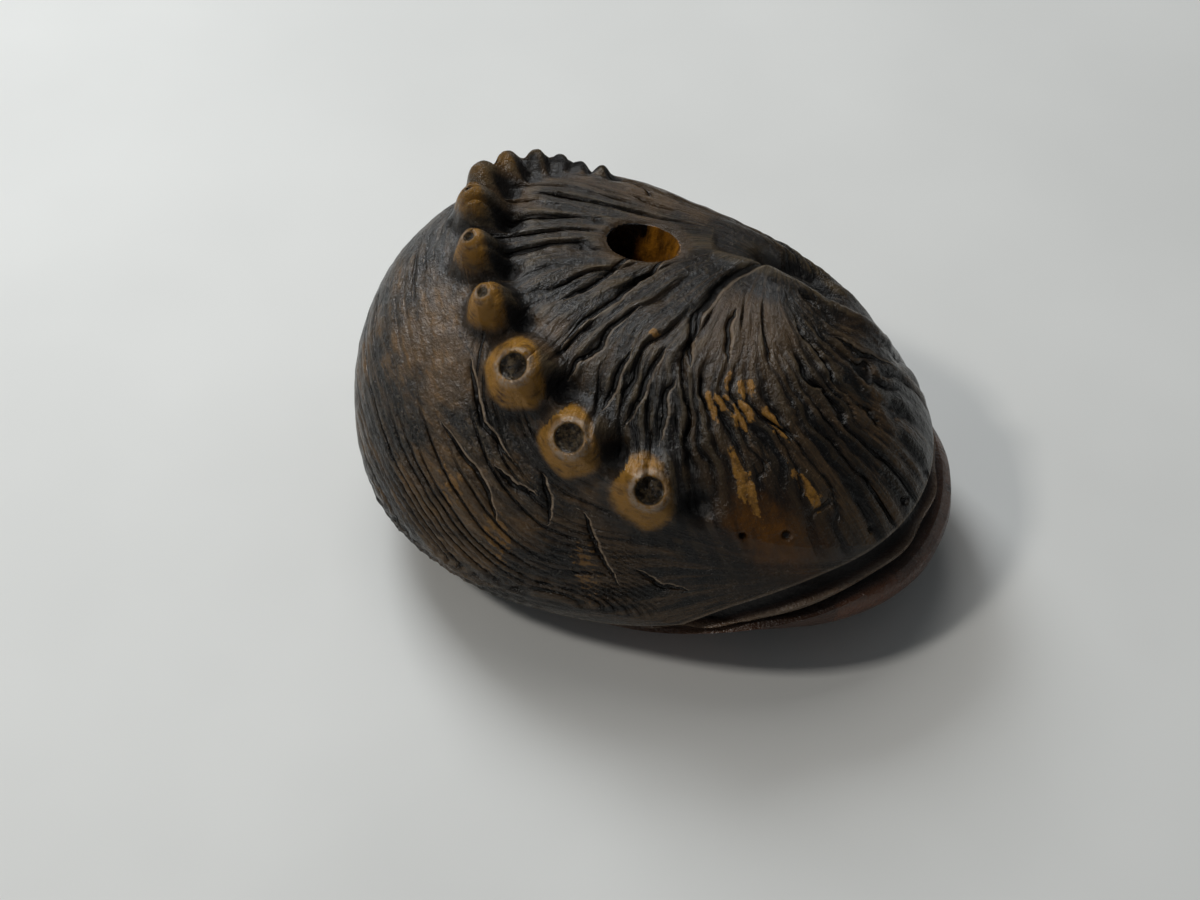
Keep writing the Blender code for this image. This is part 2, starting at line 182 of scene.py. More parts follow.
@dataclass(frozen=True)
class Body:
    """The plain body under the carving, with the same form as the solid.

    Attributes:
        length: Length along the widest line, before the bluntness.
        width: Width there.
        waist_height: Height of the widest line over the ground.
        dome_rise: Height of the dome over it.
        foot_overrun: How far the foot's form would run on under the ground.
        summit_back: Shift of the summit to the left, as a share of the half length.
        summit_aside: Its shift to the far side, as a share of the half width.
        bluntness: Swing of the outline with three times the bearing.
        spire: Place of the spire in the unit disk that unfold uses.
        swirl: Turn of the meridians from the widest line to the spire, in degrees.
        rim_tuck_front: Degrees that the rim lies under the widest line in front.
        rim_tuck_back: The same behind.
        rim_front_bearing: Bearing of the rim's front.
        rim_front_reach: Degrees from there over which the tuck goes from front to back.
        rim_raise: Degrees that the rim is raised in front.
        rim_curl: Degrees between the rim and the dome's end over it.
        rim_raise_reach: Degrees from the front over which the raise ends.
        row_line: Bearing and lift of the nub row, and of the folds' edge past its ends.
    """

    length: float = 0.0448
    width: float = 0.0318
    waist_height: float = 0.0070
    dome_rise: float = 0.01425
    foot_overrun: float = 0.0010
    summit_back: float = 0.128
    summit_aside: float = 0.144
    bluntness: float = 0.009
    spire: tuple[float, float] = (0.50, 0.45)
    swirl: float = 42.0
    rim_tuck_front: float = 2.0
    rim_tuck_back: float = 34.0
    rim_front_bearing: float = -12.0
    rim_front_reach: tuple[float, float] = (40.0, 118.0)
    rim_raise: float = 15.0
    rim_curl: float = 4.0
    rim_raise_reach: tuple[float, float] = (18.0, 78.0)
    row_line: tuple[tuple[float, float], ...] = (
        (-180.0, 77.8), (-155.5, 74.0), (-124.0, 61.5), (-95.0, 47.0), (-69.0, 37.5),
        (-48.0, 25.0), (-28.0, 16.0), (-8.0, 5.0), (0.0, -4.0), (20.0, -8.0),
        (25.0, 8.0), (29.0, 40.0), (40.0, 56.0), (54.0, 62.0), (77.5, 69.0),
        (111.5, 68.0), (126.5, 64.0), (146.0, 66.0), (157.0, 75.0), (180.0, 77.8),
    )

    def fullness(self, bearing: Array) -> Array:
        """Power of the dome's profile: small at a full shoulder, large at a slope."""
        return 0.71 + 0.23 * np.cos(bearing) - 0.36 * np.sin(bearing)

    def surface(self, bearing: Array, lift: Array) -> Array:
        """Points of the body.

        The reach from the middle is the mean half size, plus a swing with twice the
        bearing, times the cosine of the lift to the power of the fullness.  The height is
        the sine of the lift times the rise of the dome, or the depth of the foot.

        Args:
            bearing: Angles seen from above, in radians.
            lift: Angles up from the widest line, in radians.

        Returns:
            Points, one for each pair, on a last axis of three.
        """
        half_length, half_width = self.length / 2.0, self.width / 2.0
        reach = (half_length + half_width) / 2.0 + (half_length - half_width) / 2.0 * np.cos(2.0 * bearing)
        reach = reach * (1.0 + self.bluntness * np.cos(3.0 * bearing))
        above = lift > 0.0
        rise = np.sin(lift)
        share = np.maximum(np.cos(lift), 0.0) ** np.where(above, self.fullness(bearing), 0.80)
        drift = np.clip(rise, 0.0, 1.0)
        depth = self.waist_height + self.foot_overrun
        height = self.waist_height + np.where(above, self.dome_rise, depth) * rise
        east = reach * share * np.cos(bearing) - self.summit_back * half_length * drift
        north = reach * share * np.sin(bearing) + self.summit_aside * half_width * drift
        return np.stack([east, north, np.maximum(height, 0.0)], axis=-1)

    def normals(self, bearing: Array, lift: Array) -> Array:
        """Outward unit normals of the body, from small steps of bearing and lift.

        Args:
            bearing: Angles seen from above, in radians.
            lift: Angles up from the widest line, in radians.

        Returns:
            Unit normals on a last axis of three.
        """
        step = math.radians(0.5)
        along = self.surface(bearing + step, lift) - self.surface(bearing - step, lift)
        upward = self.surface(bearing, lift + step) - self.surface(bearing, lift - step)
        normal = np.cross(along, upward)
        return normal / (np.linalg.norm(normal, axis=-1, keepdims=True) + 1e-12)

    def stretch(self, bearing: Array, lift: Array) -> Array:
        """Length along the body per radian of lift.

        Args:
            bearing: Angles seen from above, in radians.
            lift: Angles up from the widest line, in radians.

        Returns:
            Metres for each radian.
        """
        step = math.radians(0.5)
        upward = self.surface(bearing, lift + step) - self.surface(bearing, lift - step)
        return np.linalg.norm(upward, axis=-1) / (2.0 * step)

    def unfold(self, meridian: Array, share: Array) -> tuple[Array, Array]:
        """Bearing and lift at a share of the way from the spire to the widest line.

        The way is a straight line in a unit disk, from the spire to the edge, turned by
        the swirl times what is left of the way.

        Args:
            meridian: Bearing at which each meridian meets the widest line, in radians.
            share: Share of the way, from 0 to 1.

        Returns:
            Bearings and lifts, in radians.
        """
        turn = meridian - math.radians(self.swirl) * (1.0 - share)
        across = self.spire[0] * (1.0 - share) + share * np.cos(turn)
        upward = self.spire[1] * (1.0 - share) + share * np.sin(turn)
        bearing = np.arctan2(upward, across)
        reach = np.minimum(np.hypot(across, upward), 1.0)
        end = self.dome_foot(bearing)
        rise = np.arccos(reach ** (1.0 / self.fullness(bearing)))
        return bearing, end + rise * (1.0 - end / (math.pi / 2.0))

    def window(self, bearing: Array, middle: float, reach: tuple[float, float]) -> Array:
        """One round a middle bearing, and zero past the second reach from it, in degrees.

        Args:
            bearing: Angles seen from above, in radians.
            middle: Middle, in degrees.
            reach: Degrees from the middle where the fall starts and ends.

        Returns:
            Shares from 0 to 1.
        """
        away = np.degrees(np.abs(np.angle(np.exp(1j * (bearing - math.radians(middle))))))
        return 1.0 - smooth_step(away, *reach)

    def rim_lift(self, bearing: Array) -> Array:
        """Lift of the shell's rim: high in front, and tucked well under elsewhere.

        Args:
            bearing: Angles seen from above, in radians.

        Returns:
            Lifts in radians.
        """
        front = self.window(bearing, self.rim_front_bearing, self.rim_front_reach)
        raised = self.rim_raise * self.window(bearing, self.rim_front_bearing, self.rim_raise_reach)
        return np.radians(raised - self.rim_tuck_back - (self.rim_tuck_front - self.rim_tuck_back) * front)

    def dome_foot(self, bearing: Array) -> Array:
        """Lift where the dome ends: the widest line, or just over the rim where that is higher."""
        return np.maximum(self.rim_lift(bearing) + math.radians(self.rim_curl), 0.0)

    def row_lift(self, bearing: Array) -> Array:
        """Lift of the nub row and, past it, of the edge of the folds."""
        line = np.array(self.row_line)
        return np.radians(np.interp(np.degrees(bearing), line[:, 0], line[:, 1]))


@dataclass(frozen=True)
class Nub:
    """One raised nub of the row.

    Attributes:
        bearing: Bearing of its middle, in degrees.
        lift: Lift of its middle, in degrees.
        width: Width at its foot.
        height: Height over the row.
        bluntness: Power of its side: 2 is a soft hill, 5 a barrel.
        hollow: Width of the drilled hollow in its top.
        hollow_aside: Shift of the hollow towards the left end, as a share of the width.
        amber: How far the stain is rubbed off, from 0 to 1.
    """

    bearing: float
    lift: float
    width: float
    height: float
    bluntness: float
    hollow: float
    hollow_aside: float
    amber: float


@dataclass(frozen=True)
class Cut:
    """A knife cut or an open grain line, with its places seen from above, in millimetres."""

    places: tuple[tuple[float, float], ...]
    depth: float = 0.45
    spread: float = 0.17


@dataclass(frozen=True)
class Rub:
    """A worn place: middle seen from above and half sizes in millimetres, and its turn."""

    middle: tuple[float, float]
    reach: tuple[float, float]
    turn: float
    strength: float


NUBS = (
    Nub(-69.0, 37.5, 0.0057, 0.0013, 2.8, 0.0020, 0.0, 0.75),
    Nub(-95.0, 47.0, 0.0052, 0.0019, 3.2, 0.0021, 0.06, 1.0),
    Nub(-124.0, 61.5, 0.0053, 0.0020, 3.2, 0.0020, 0.08, 1.0),
    Nub(-155.5, 74.0, 0.0038, 0.0024, 4.5, 0.0008, 0.10, 0.8),
    Nub(177.5, 78.0, 0.0038, 0.0024, 4.5, 0.0008, 0.10, 0.6),
    Nub(157.0, 75.0, 0.0039, 0.0022, 4.0, 0.0005, 0.10, 0.5),
    Nub(146.0, 66.5, 0.0032, 0.0019, 3.4, 0.0, 0.0, 0.3),
    Nub(137.5, 64.0, 0.0027, 0.0019, 3.4, 0.0, 0.0, 0.35),
    Nub(130.0, 64.0, 0.0024, 0.0017, 3.2, 0.0, 0.0, 0.2),
    Nub(124.0, 64.5, 0.0021, 0.0014, 3.0, 0.0, 0.0, 0.12),
    Nub(118.5, 65.5, 0.0019, 0.0011, 3.0, 0.0, 0.0, 0.08),
    Nub(111.5, 68.0, 0.0016, 0.0009, 2.6, 0.0, 0.0, 0.05),
)

CUTS = (
    Cut(((-2.6, 6.3), (-3.3, 5.2), (-5.0, 2.2), (-6.9, 0.2))),
    Cut(((-0.5, 6.4), (-1.0, 4.8), (-1.8, 4.0), (-2.9, 1.8), (-4.6, -0.7), (-5.7, -3.4)), 0.55, 0.19),
    Cut(((-1.1, 1.3), (-2.6, -0.8), (-3.1, -2.6), (-4.2, -3.9), (-4.6, -5.4)), 0.5),
    Cut(((-0.8, -2.3), (-1.1, -4.0), (-1.4, -5.6), (-1.7, -6.7))),
    Cut(((1.6, -1.4), (1.2, -2.4), (0.7, -4.1), (0.6, -5.5), (0.1, -7.4)), 0.5),
    Cut(((2.8, -3.6), (2.4, -4.7), (2.6, -6.5), (2.7, -7.9))),
    Cut(((3.3, 3.2), (2.9, 1.8), (3.1, -0.5), (3.5, -2.2))),
    Cut(((5.5, 3.5), (5.4, 1.9), (5.7, 0.3), (6.0, -1.0))),
    Cut(((6.9, 9.0), (5.0, 7.0), (3.9, 5.2), (3.2, 2.4), (3.3, 0.1)), 0.7, 0.26),
    Cut(((12.8, 4.8), (14.5, 4.8), (17.3, 5.7)), 0.35),
    Cut(((-11.8, -5.3), (-11.5, -6.3), (-10.8, -7.8), (-9.9, -9.2), (-8.6, -10.1), (-7.3, -10.9)), 0.4),
    Cut(((-13.0, -9.2), (-11.5, -10.5), (-9.8, -11.7), (-8.5, -12.7), (-7.6, -13.8)), 0.4),
    Cut(((-8.4, -11.3), (-6.9, -12.0), (-5.0, -12.4)), 0.35),
    Cut(((-5.0, -11.2), (-4.5, -11.9), (-4.2, -12.5), (-3.9, -13.4)), 0.5),
    Cut(((-1.4, -12.6), (-0.7, -13.4), (-0.2, -14.0), (1.6, -15.1)), 0.45),
    Cut(((2.8, -14.4), (4.7, -14.6), (6.5, -14.5)), 0.4),
)

# Worn pin holes near the edge in front: bearing and lift in degrees, and width in millimetres
PITS = (
    ((-2.0, 14.5), 0.75),
    ((-11.0, 17.0), 0.65),
    ((-21.0, 17.5), 0.6),
    ((-38.5, 25.0), 0.7),
    ((-48.0, 26.5), 0.55),
)

# Line of the deep cleft, the smooth knob at the end of its lip and the gap behind that, which is painted dark
# as shade, with their places seen from above in millimetres
CLEFT = ((2.4, 9.1), (4.6, 9.3), (6.8, 9.5), (9.0, 9.3), (11.2, 8.9), (13.5, 9.0), (16.0, 9.6))
KNOB = (14.3, 7.4)
LIP_GAP = ((7.6, 11.0), (8.8, 11.4), (10.2, 11.3), (11.4, 10.7), (12.6, 9.9))

RUBS = (
    Rub((7.95, -4.45), (0.75, 1.1), -75.0, 1.0),
    Rub((7.67, -2.5), (0.6, 0.8), -70.0, 0.8),
    Rub((6.24, -2.3), (0.35, 1.0), -80.0, 0.75),
    Rub((6.36, -3.9), (0.45, 0.7), -75.0, 0.8),
    Rub((5.6, -4.57), (0.5, 1.2), -75.0, 0.8),
    Rub((10.23, -3.96), (0.55, 1.4), -41.0, 0.95),
    Rub((9.15, -8.46), (0.6, 2.2), -48.0, 1.0),
    Rub((13.2, -7.06), (0.5, 1.5), -29.0, 1.0),
    Rub((0.5, -0.57), (0.35, 0.5), 0.0, 0.8),
    Rub((-7.6, -14.3), (0.8, 1.5), -35.0, 0.6),
    Rub((-0.7, -14.8), (0.8, 1.3), -35.0, 0.6),
    Rub((-11.7, -11.9), (0.8, 1.6), -45.0, 0.4),
)


@dataclass
class Carving:
    """The carved surface as a grid of rings, with its relief and what colours it.

    Attributes:
        body: The plain body under it.
        meridians: Points round each ring.
        dome_rings: Rings from the spire to the widest line.
        rim_rings: Rings from there to the rim.
        under_rings: Rings of the groove and the frill.
        foot_rings: Rings of the foot, down to the ground.
        flat_rings: Rings of the flat.
        ring_crowding: Power that crowds the rings towards the widest line.
        fold_count: Growth folds round the shell inside the row.
        fine_count: Ropes of the fan, if they went all the way round.
        band_count: Growth bands between the row and the rim.
        row_height: Height of the ridge that carries the nubs.
        row_spread: Half width of that ridge.
        notch_depth: Depth of the notch beside a large nub.
        notch_width: Half width of that notch.
        groove_depth: Depth of the groove under the rim.
        frill_depth: How far the frill in it stays behind the rim.
        frill_wave: Depth of the frill's waves.
        frill_waves: Number of waves round the frill.
        under_drop: Degrees of lift that groove and frill take up.
        foot_proud: How far the foot swells in front.
        foot_proud_back: The same behind, where it draws in.
        bore_mouth: Place of the cord hole on top, as shares of the half sizes.
        bore_exit: Its place on the underside, likewise.
        bore_width: Its mean width.
        bore_oval: Its two half widths as shares of half the mean width.
        knob_rise: Height of the smooth knob, and of the swelling at the row's end.
        row_tail: Middle of that swelling, in millimetres.
        plate_rise: Height of a fold's plate.
        crack_depth: Depth of the cuts between folds.
        hair_depth: Depth of the fine cuts.
        rope_rise: Height of the ropes in the fan.
        lip_rise: Height of the cleft's rolled lip.
        ridge_rise: Height of the ridges behind the cleft.
        cleft_depth: Depth of the cleft at its ends, which doubles in the middle.
        lip_gap_depth: Depth of the gap behind the knob, which is painted dark as shade.
        mouth_dip: Depth of the rounded lip of the cord hole.
        grain_rise: Height of the surface's slow unevenness.
        masks: What the finish reads, each one number for each point.
    """

    body: Body = field(default_factory=Body)
    meridians: int = 448
    dome_rings: int = 162
    rim_rings: int = 16
    under_rings: int = 12
    foot_rings: int = 15
    flat_rings: int = 5
    ring_crowding: float = 1.55
    fold_count: int = 38
    fine_count: int = 84
    band_count: int = 32
    row_height: float = 0.00040
    row_spread: float = 0.0016
    notch_depth: float = 0.0012
    notch_width: float = 0.0011
    groove_depth: float = 0.0010
    frill_depth: float = 0.00025
    frill_wave: float = 0.00018
    frill_waves: int = 19
    under_drop: float = 12.5
    foot_proud: float = 0.0013
    foot_proud_back: float = -0.0006
    bore_mouth: tuple[float, float] = (-0.104, 0.484)
    bore_exit: tuple[float, float] = (-0.33, 0.15)
    bore_width: float = 0.0049
    bore_oval: tuple[float, float] = (1.10, 0.75)
    knob_rise: float = 0.45 * MM
    row_tail: tuple[float, float] = (0.6, -10.6)
    plate_rise: float = 0.13 * MM
    crack_depth: float = 0.36 * MM
    hair_depth: float = 0.09 * MM
    rope_rise: float = 0.26 * MM
    lip_rise: float = 0.70 * MM
    ridge_rise: float = 0.40 * MM
    cleft_depth: float = 2.0 * MM
    lip_gap_depth: float = 1.5 * MM
    mouth_dip: float = 0.30 * MM
    grain_rise: float = 0.035 * MM
    masks: dict[str, Array] = field(default_factory=dict)

    def lay_rings(self) -> None:
        """Works out bearing, lift and share for every point of the grid."""
        meridian = np.radians(np.arange(self.meridians) * 360.0 / self.meridians - 180.0)
        steps = np.arange(1, self.dome_rings + 1) / self.dome_rings
        shares = 1.0 - (1.0 - steps) ** self.ring_crowding
        self.meridian = np.broadcast_to(meridian, (self.ring_total(), self.meridians)).copy()
        self.share = np.ones_like(self.meridian)
        self.share[: self.dome_rings] = shares[:, None]
        rim = self.body.rim_lift(meridian)
        bearing, lift = self.body.unfold(self.meridian[: self.dome_rings], self.share[: self.dome_rings])
        foot = self.body.dome_foot(meridian)
        below = [foot + (rim - foot) * (index + 1) / self.rim_rings for index in range(self.rim_rings)]
        under = np.linspace(0.0, self.under_drop, self.under_rings + 1)[1:]
        below += [rim - math.radians(drop) for drop in under]
        start = rim - math.radians(self.under_drop)
        ground = -math.asin(self.body.waist_height / (self.body.waist_height + self.body.foot_overrun))
        self.foot_shares = np.linspace(0.0, 1.0, self.foot_rings + 1)[1:]
        below += [start + (ground - start) * share for share in self.foot_shares]
        self.lift = np.vstack([lift, np.array(below)])
        self.bearing = np.vstack([bearing, np.broadcast_to(meridian, (len(below), self.meridians))])
        self.under_shares = under / self.under_drop

    def mark(self, name: str, values: Array) -> None:
        """Raises a mask to the given values where they are higher."""
        self.masks[name] = np.maximum(self.masks[name], values)

    def mark_cut(self, ratio: Array) -> None:
        """Keeps the signed share of a cut's half width, where that cut is the nearest.

        Args:
            ratio: Signed distance from the cut, as a share of its half width.
        """
        nearer = np.abs(ratio) < self.masks["cut_gap"]
        self.masks["cut_side"] = np.where(nearer, ratio, self.masks["cut_side"])
        self.masks["cut_gap"] = np.where(nearer, np.abs(ratio), self.masks["cut_gap"])

    def ring_total(self) -> int:
        """Number of rings but those of the flat."""
        return self.dome_rings + self.rim_rings + self.under_rings + self.foot_rings

    def shape(self) -> Array:
        """Carves the whole grid.

        Returns:
            Points of every ring, with the flat's rings last.
        """
        self.lay_rings()
        self.base = self.body.surface(self.bearing, self.lift)
        self.normal = self.body.normals(self.bearing, self.lift)
        self.stretch = self.body.stretch(self.bearing, self.lift)
        around = np.roll(self.base, -1, axis=1) - np.roll(self.base, 1, axis=1)
        self.pitch = np.linalg.norm(around, axis=-1) / (4.0 * math.pi / self.meridians)
        for name in ("cut", "rub", "amber", "pale", "red", "knob"):
            self.masks[name] = np.zeros_like(self.lift)
        for name in ("cut_gap", "cut_side", "hollow", "nub_gap"):
            self.masks[name] = np.full_like(self.lift, FAR)
        relief = self.shell_relief()
        points = self.base + self.normal * relief[..., None]
        points = self.raise_nubs(points)
        points = self.carve_under(points)
        rings = np.concatenate([points, self.flat_points(points[-1])])
        height = np.einsum("rmc,rmc->rm", points - self.base, self.normal)
        self.masks["crest"] = (height - soften(height, 4)) / (0.16 * MM)
        return rings

    def flat_points(self, ground: Array) -> Array:
        """Rings of the flat, each a smaller copy of the ring where the foot meets the ground.

        Args:
            ground: The foot's lowest ring.

        Returns:
            The flat's rings, from the edge inwards.
        """
        centre = ground.mean(axis=0)
        shares = 1.0 - np.arange(1, self.flat_rings + 1) / (self.flat_rings + 1.0)
        return centre + (ground - centre) * shares[:, None, None]

    def shell_relief(self) -> Array:
        """Height of the growth folds, the bands, the row, the cleft and the cuts.

        Returns:
            Height over the plain body at each point.
        """
        rim = self.body.rim_lift(self.bearing)
        below_row = self.body.row_lift(self.bearing) - self.lift
        arc = below_row * self.stretch
        self.inside = 1.0 - smooth_step(arc, -0.4 * MM, 0.9 * MM)
        self.masks["inside"] = self.inside
        on_shell = smooth_step(np.degrees(self.lift - rim), 0.4, 5.0)

        self.masks["knob"] = bump(np.linalg.norm(self.base - self.seat(KNOB), axis=-1), 2.3 * MM)
        folds = self.fold_relief()
        bands = self.band_relief(below_row, rim)
        relief = folds * self.inside + bands * (1.0 - self.inside)
        relief *= 1.0 - 0.85 * self.masks["knob"]
        relief += self.knob_rise * self.masks["knob"]

        row = bump(arc, self.row_spread) * smooth_step(np.degrees(np.abs(self.bearing)), 45.0, 70.0)
        relief += self.row_height * row
        tail = (self.base - self.seat(self.row_tail)) / MM
        swelling = np.exp(-((tail[..., 0] / 3.4) ** 2) - (tail[..., 1] / 1.9) ** 2)
        relief += self.knob_rise * swelling * (self.lift > 0.0)
        relief += self.cleft_relief()
        relief += self.cut_relief()
        dip = self.mouth_relief()
        relief = relief * (1.0 - 0.9 * self.masks["mouth"]) + dip
        grain = lattice_noise(*(self.base[..., axis] / (0.9 * MM) for axis in range(3)), 11)
        relief += self.grain_rise * grain
        relief *= on_shell
        self.rub_marks()
        return relief

    def mouth_relief(self) -> Array:
        """The rounded lip of the cord hole: a dip whose slope grows towards the hole.

        Returns:
            Height over the plain body at each point.
        """
        top, _, run = self.bore_axis()
        along = (self.base - top) @ run
        gap = self.base - top - along[..., None] * run
        away = np.hypot(gap[..., 0] / self.bore_oval[0], gap[..., 1] / self.bore_oval[1])
        past = away - self.bore_width / 2.0
        self.masks["mouth"] = smooth_step(past, 1.1 * MM, 0.1 * MM)
        near = np.clip(1.0 - past / (0.75 * MM), 0.0, 1.0)
        return -self.mouth_dip * near ** 2.2

    def bore_axis(self) -> tuple[Array, Array, Array]:
        """Where the cord hole meets the top of the body and the ground, and the way between.

        Returns:
            Top, bottom, and the unit vector from one to the other.
        """
        half = np.array([self.body.length / 2.0, self.body.width / 2.0])
        top = np.append(np.array(self.bore_mouth) * half, self.body.waist_height + self.body.dome_rise)
        bottom = np.append(np.array(self.bore_exit) * half, 0.0)
        return top, bottom, (bottom - top) / np.linalg.norm(bottom - top)

    def bore_halves(self) -> tuple[Array, Array]:
        """The two half widths across the cord hole, as vectors at right angles to it.

        Returns:
            The wider half width, then the narrower.
        """
        run = self.bore_axis()[2]
        other = np.cross(run, [1.0, 0.0, 0.0])
        other /= np.linalg.norm(other)
        wide, narrow = np.array(self.bore_oval) * self.bore_width / 2.0
        return np.cross(other, run) * wide, other * narrow

    def warp(self, round_scale: float, along_scale: float, seed: int) -> Array:
        """Noise that is closed round the meridians and runs along them."""
        return ring_noise(self.meridian, round_scale, self.share * along_scale, seed)

    def keep_turns(self, lines: Lines, turns: Array) -> None:
        """Keeps a count of lines as a cosine and a sine, so that the finish can find them."""
        self.masks[lines.value + "_cos"] = np.cos(2.0 * math.pi * turns)
        self.masks[lines.value + "_sin"] = np.sin(2.0 * math.pi * turns)

    def crack_lines(self, lines: Lines, turns: Array, count: int, seed: int, begin: float) -> Array:
        """Cuts along whole numbers of turns, each open for only part of its length.

        Args:
            lines: The family under which they are kept for the finish.
            turns: Which line a point lies on or between.
            count: Lines round the whole shell.
            seed: Picks the lines' random strengths.
            begin: Share of the way from the spire at which every line is there; half of
                them start at half of that.

        Returns:
            Depth of the cut from 0 to 1.
        """
        self.keep_turns(lines, turns)
        gap = np.abs(turns - np.round(turns)) * self.pitch * 2.0 * math.pi / count
        line = np.mod(np.round(turns), count)
        gate = lattice_noise(line * 1.73, self.share * 7.0, line * 0.37, seed)
        start = begin * (0.5 + 0.5 * np.mod(line, 2.0))
        is_open = smooth_step(gate, -0.15, 0.40) * smooth_step(self.share, 0.75 * start, start)
        self.masks[lines.value + "_open"] = is_open
        return bump(gap, 0.18 * MM) * is_open

    def fold_relief(self) -> Array:
        """Growth folds inside the row: flat plates, cuts between them, and ropes in the fan.

        Returns:
            Height over the plain body at each point.
        """
        wander = 0.60 * self.warp(3.2, 5.0, 3) + 0.30 * self.warp(9.0, 12.0, 4)
        wander += 0.07 * self.warp(30.0, 40.0, 6)
        main = self.meridian / (2.0 * math.pi) * self.fold_count + wander
        fine = self.meridian / (2.0 * math.pi) * self.fine_count + 1.3 * wander
        fine += 0.32 * self.warp(14.0, 12.0, 5) + 0.12 * self.warp(30.0, 45.0, 7)
        crack = self.crack_lines(Lines.FOLD, main, self.fold_count, 21, 0.55)
        hair = self.crack_lines(Lines.ROPE, fine, self.fine_count, 22, 0.72)
        fan = self.body.window(self.meridian, -28.0, (38.0, 66.0)) * smooth_step(self.share, 0.32, 0.68)
        fan *= 1.0 - 0.92 * self.smooth_zone()
        start = smooth_step(self.share, 0.08, 0.42)
        self.masks["fan"] = fan
        self.masks["begun"] = start
        ropes = np.abs(np.sin(math.pi * fine)) ** 0.8
        lumps = 0.07 * MM * self.warp(24.0, 15.0, 8)
        uneven = 0.75 + 0.55 * self.warp(12.0, 9.0, 9)
        outer = smooth_step(self.share, 0.40, 0.62)
        plate = self.ledges(main, 0.82) * outer + self.ledges(main / 2.0, 0.86) * (1.0 - outer)
        relief = self.plate_rise * plate - self.crack_depth * crack - self.hair_depth * hair
        relief += 0.015 * MM * ropes + lumps
        relief += fan * (self.rope_rise * uneven * (ropes - 0.6) + lumps)
        valley = fan * smooth_step(ropes * (0.8 + 0.4 * uneven), 0.62, 0.2)
        kept = (1.0 - 0.75 * self.smooth_zone()) * start
        self.masks["cut"] = np.clip(0.5 * crack + 0.3 * hair + 0.8 * valley, 0.0, 1.0) * self.inside * kept
        return relief * kept

    @staticmethod
    def ledges(turns: Array, edge: float) -> Array:
        """A saw from -0.5 to 0.5: up over the edge share of each turn, and down over the rest."""
        part = turns - np.floor(turns)
        return np.where(part < edge, part / edge, (1.0 - part) / (1.0 - edge)) - 0.5

    def smooth_zone(self) -> Array:
        """The rubbed amber shoulder in front, where the folds fade out.

        Returns:
            Shares from 0 to 1.
        """
        east = (self.base[..., 0] / MM - 11.8) / 5.8
        north = (self.base[..., 1] / MM + 10.4) / 2.9
        turned = (east * 0.94 - north * 0.34, east * 0.34 + north * 0.94)
        spread = np.exp(-((turned[0] ** 2 + turned[1] ** 2) ** 1.4))
        return spread * smooth_step(np.degrees(self.lift), -12.0, 12.0)

    def band_relief(self, below_row: Array, rim: Array) -> Array:
        """Growth bands outside the row: ledges that follow the rim and taper out in front.

        Args:
            below_row: How far each point lies under the row, in radians.
            rim: Lift of the rim.

        Returns:
            Height of the bands over the body.
        """
        span = np.maximum(self.body.row_lift(self.bearing) - rim, math.radians(12.0))
        depth = np.clip(below_row / span, 0.0, 1.0)
        self.depth = depth
        wander = 0.75 * ring_noise(self.bearing, 2.2, depth * 2.6, 31)
        wander += 0.22 * ring_noise(self.bearing, 8.0, depth * 9.0, 32)
        wander += 0.08 * ring_noise(self.bearing, 30.0, depth * 20.0, 34)
        degrees = np.degrees(self.bearing)
        leave = smooth_step(degrees, -162.0, -96.0) * smooth_step(degrees, 15.0, -62.0)
        turns = (depth - 0.36 * leave) * self.band_count + wander
        self.keep_turns(Lines.BAND, turns)
        part = turns - np.floor(turns)
        gate = ring_noise(self.bearing, 2.4, np.round(turns) * 0.83, 33)
        edge = np.minimum(part, 1.0 - part) * self.stretch * span / self.band_count
        self.masks["band_open"] = smooth_step(gate - 0.45 * smooth_step(depth, 0.62, 0.22), -0.7, 0.2)
        groove = bump(edge, 0.15 * MM) * self.masks["band_open"]
        strength = 0.08 + 0.08 * smooth_step(depth, 0.35, 0.80)
        self.masks["band_cut"] = 0.5 * groove * (1.0 - self.inside)
        self.masks["near_row"] = smooth_step(depth, 0.55, 0.2)
        room = smooth_step(self.stretch * span / self.band_count, 0.26 * MM, 0.52 * MM)
        self.masks["room"] = room
        # Painted shade: the front and the right slope, away from the lights, are marked here to be darkened.
        front = self.body.window(self.bearing, -62.0, (26.0, 62.0)) * smooth_step(depth, 0.10, 0.45)
        slope = self.body.window(self.bearing, -8.0, (24.0, 60.0)) * smooth_step(self.share, 0.50, 0.85)
        self.masks["low"] = np.maximum(front, slope)
        fade = smooth_step(np.degrees(below_row), 1.5, 8.0) * room
        lumps = ring_noise(self.bearing, 16.0, depth * 26.0, 35)
        return (strength * self.ledges(turns, 0.8) - 1.9 * strength * groove + 0.05 * lumps) * MM * fade

    def along_line(self, places: tuple[tuple[float, float], ...]) -> tuple[Array, Array, Array]:
        """Distance in space from each point to a line drawn on the body.

        Args:
            places: Places of the line seen from above, in millimetres.

        Returns:
            Distance, share of the way along the line, and the side of it, +1 or -1.
        """
        spots = [self.seat(place) for place in places]
        best = np.full(self.lift.shape, 1.0)
        share = np.zeros_like(best)
        side = np.zeros_like(best)
        for index in range(len(spots) - 1):
            run = spots[index + 1] - spots[index]
            offset = self.base - spots[index]
            along = np.clip((offset @ run) / (run @ run), 0.0, 1.0)
            gap = offset - along[..., None] * run
            distance = np.linalg.norm(gap, axis=-1)
            nearer = distance < best
            best = np.where(nearer, distance, best)
            share = np.where(nearer, (index + along) / (len(spots) - 1), share)
            side = np.where(nearer, np.sign(run[0] * gap[..., 1] - run[1] * gap[..., 0]), side)
        return best, share, side

    def seat(self, place: tuple[float, float]) -> Array:
        """Point of the plain body under a place seen from above, in millimetres.

        Args:
            place: The place.

        Returns:
            The nearest point of the dome's grid.
        """
        offset = self.base[: self.dome_rings, :, :2] - np.array(place) * MM
        found = np.argmin(np.hypot(offset[..., 0], offset[..., 1]))
        return self.base[: self.dome_rings].reshape(-1, 3)[found]

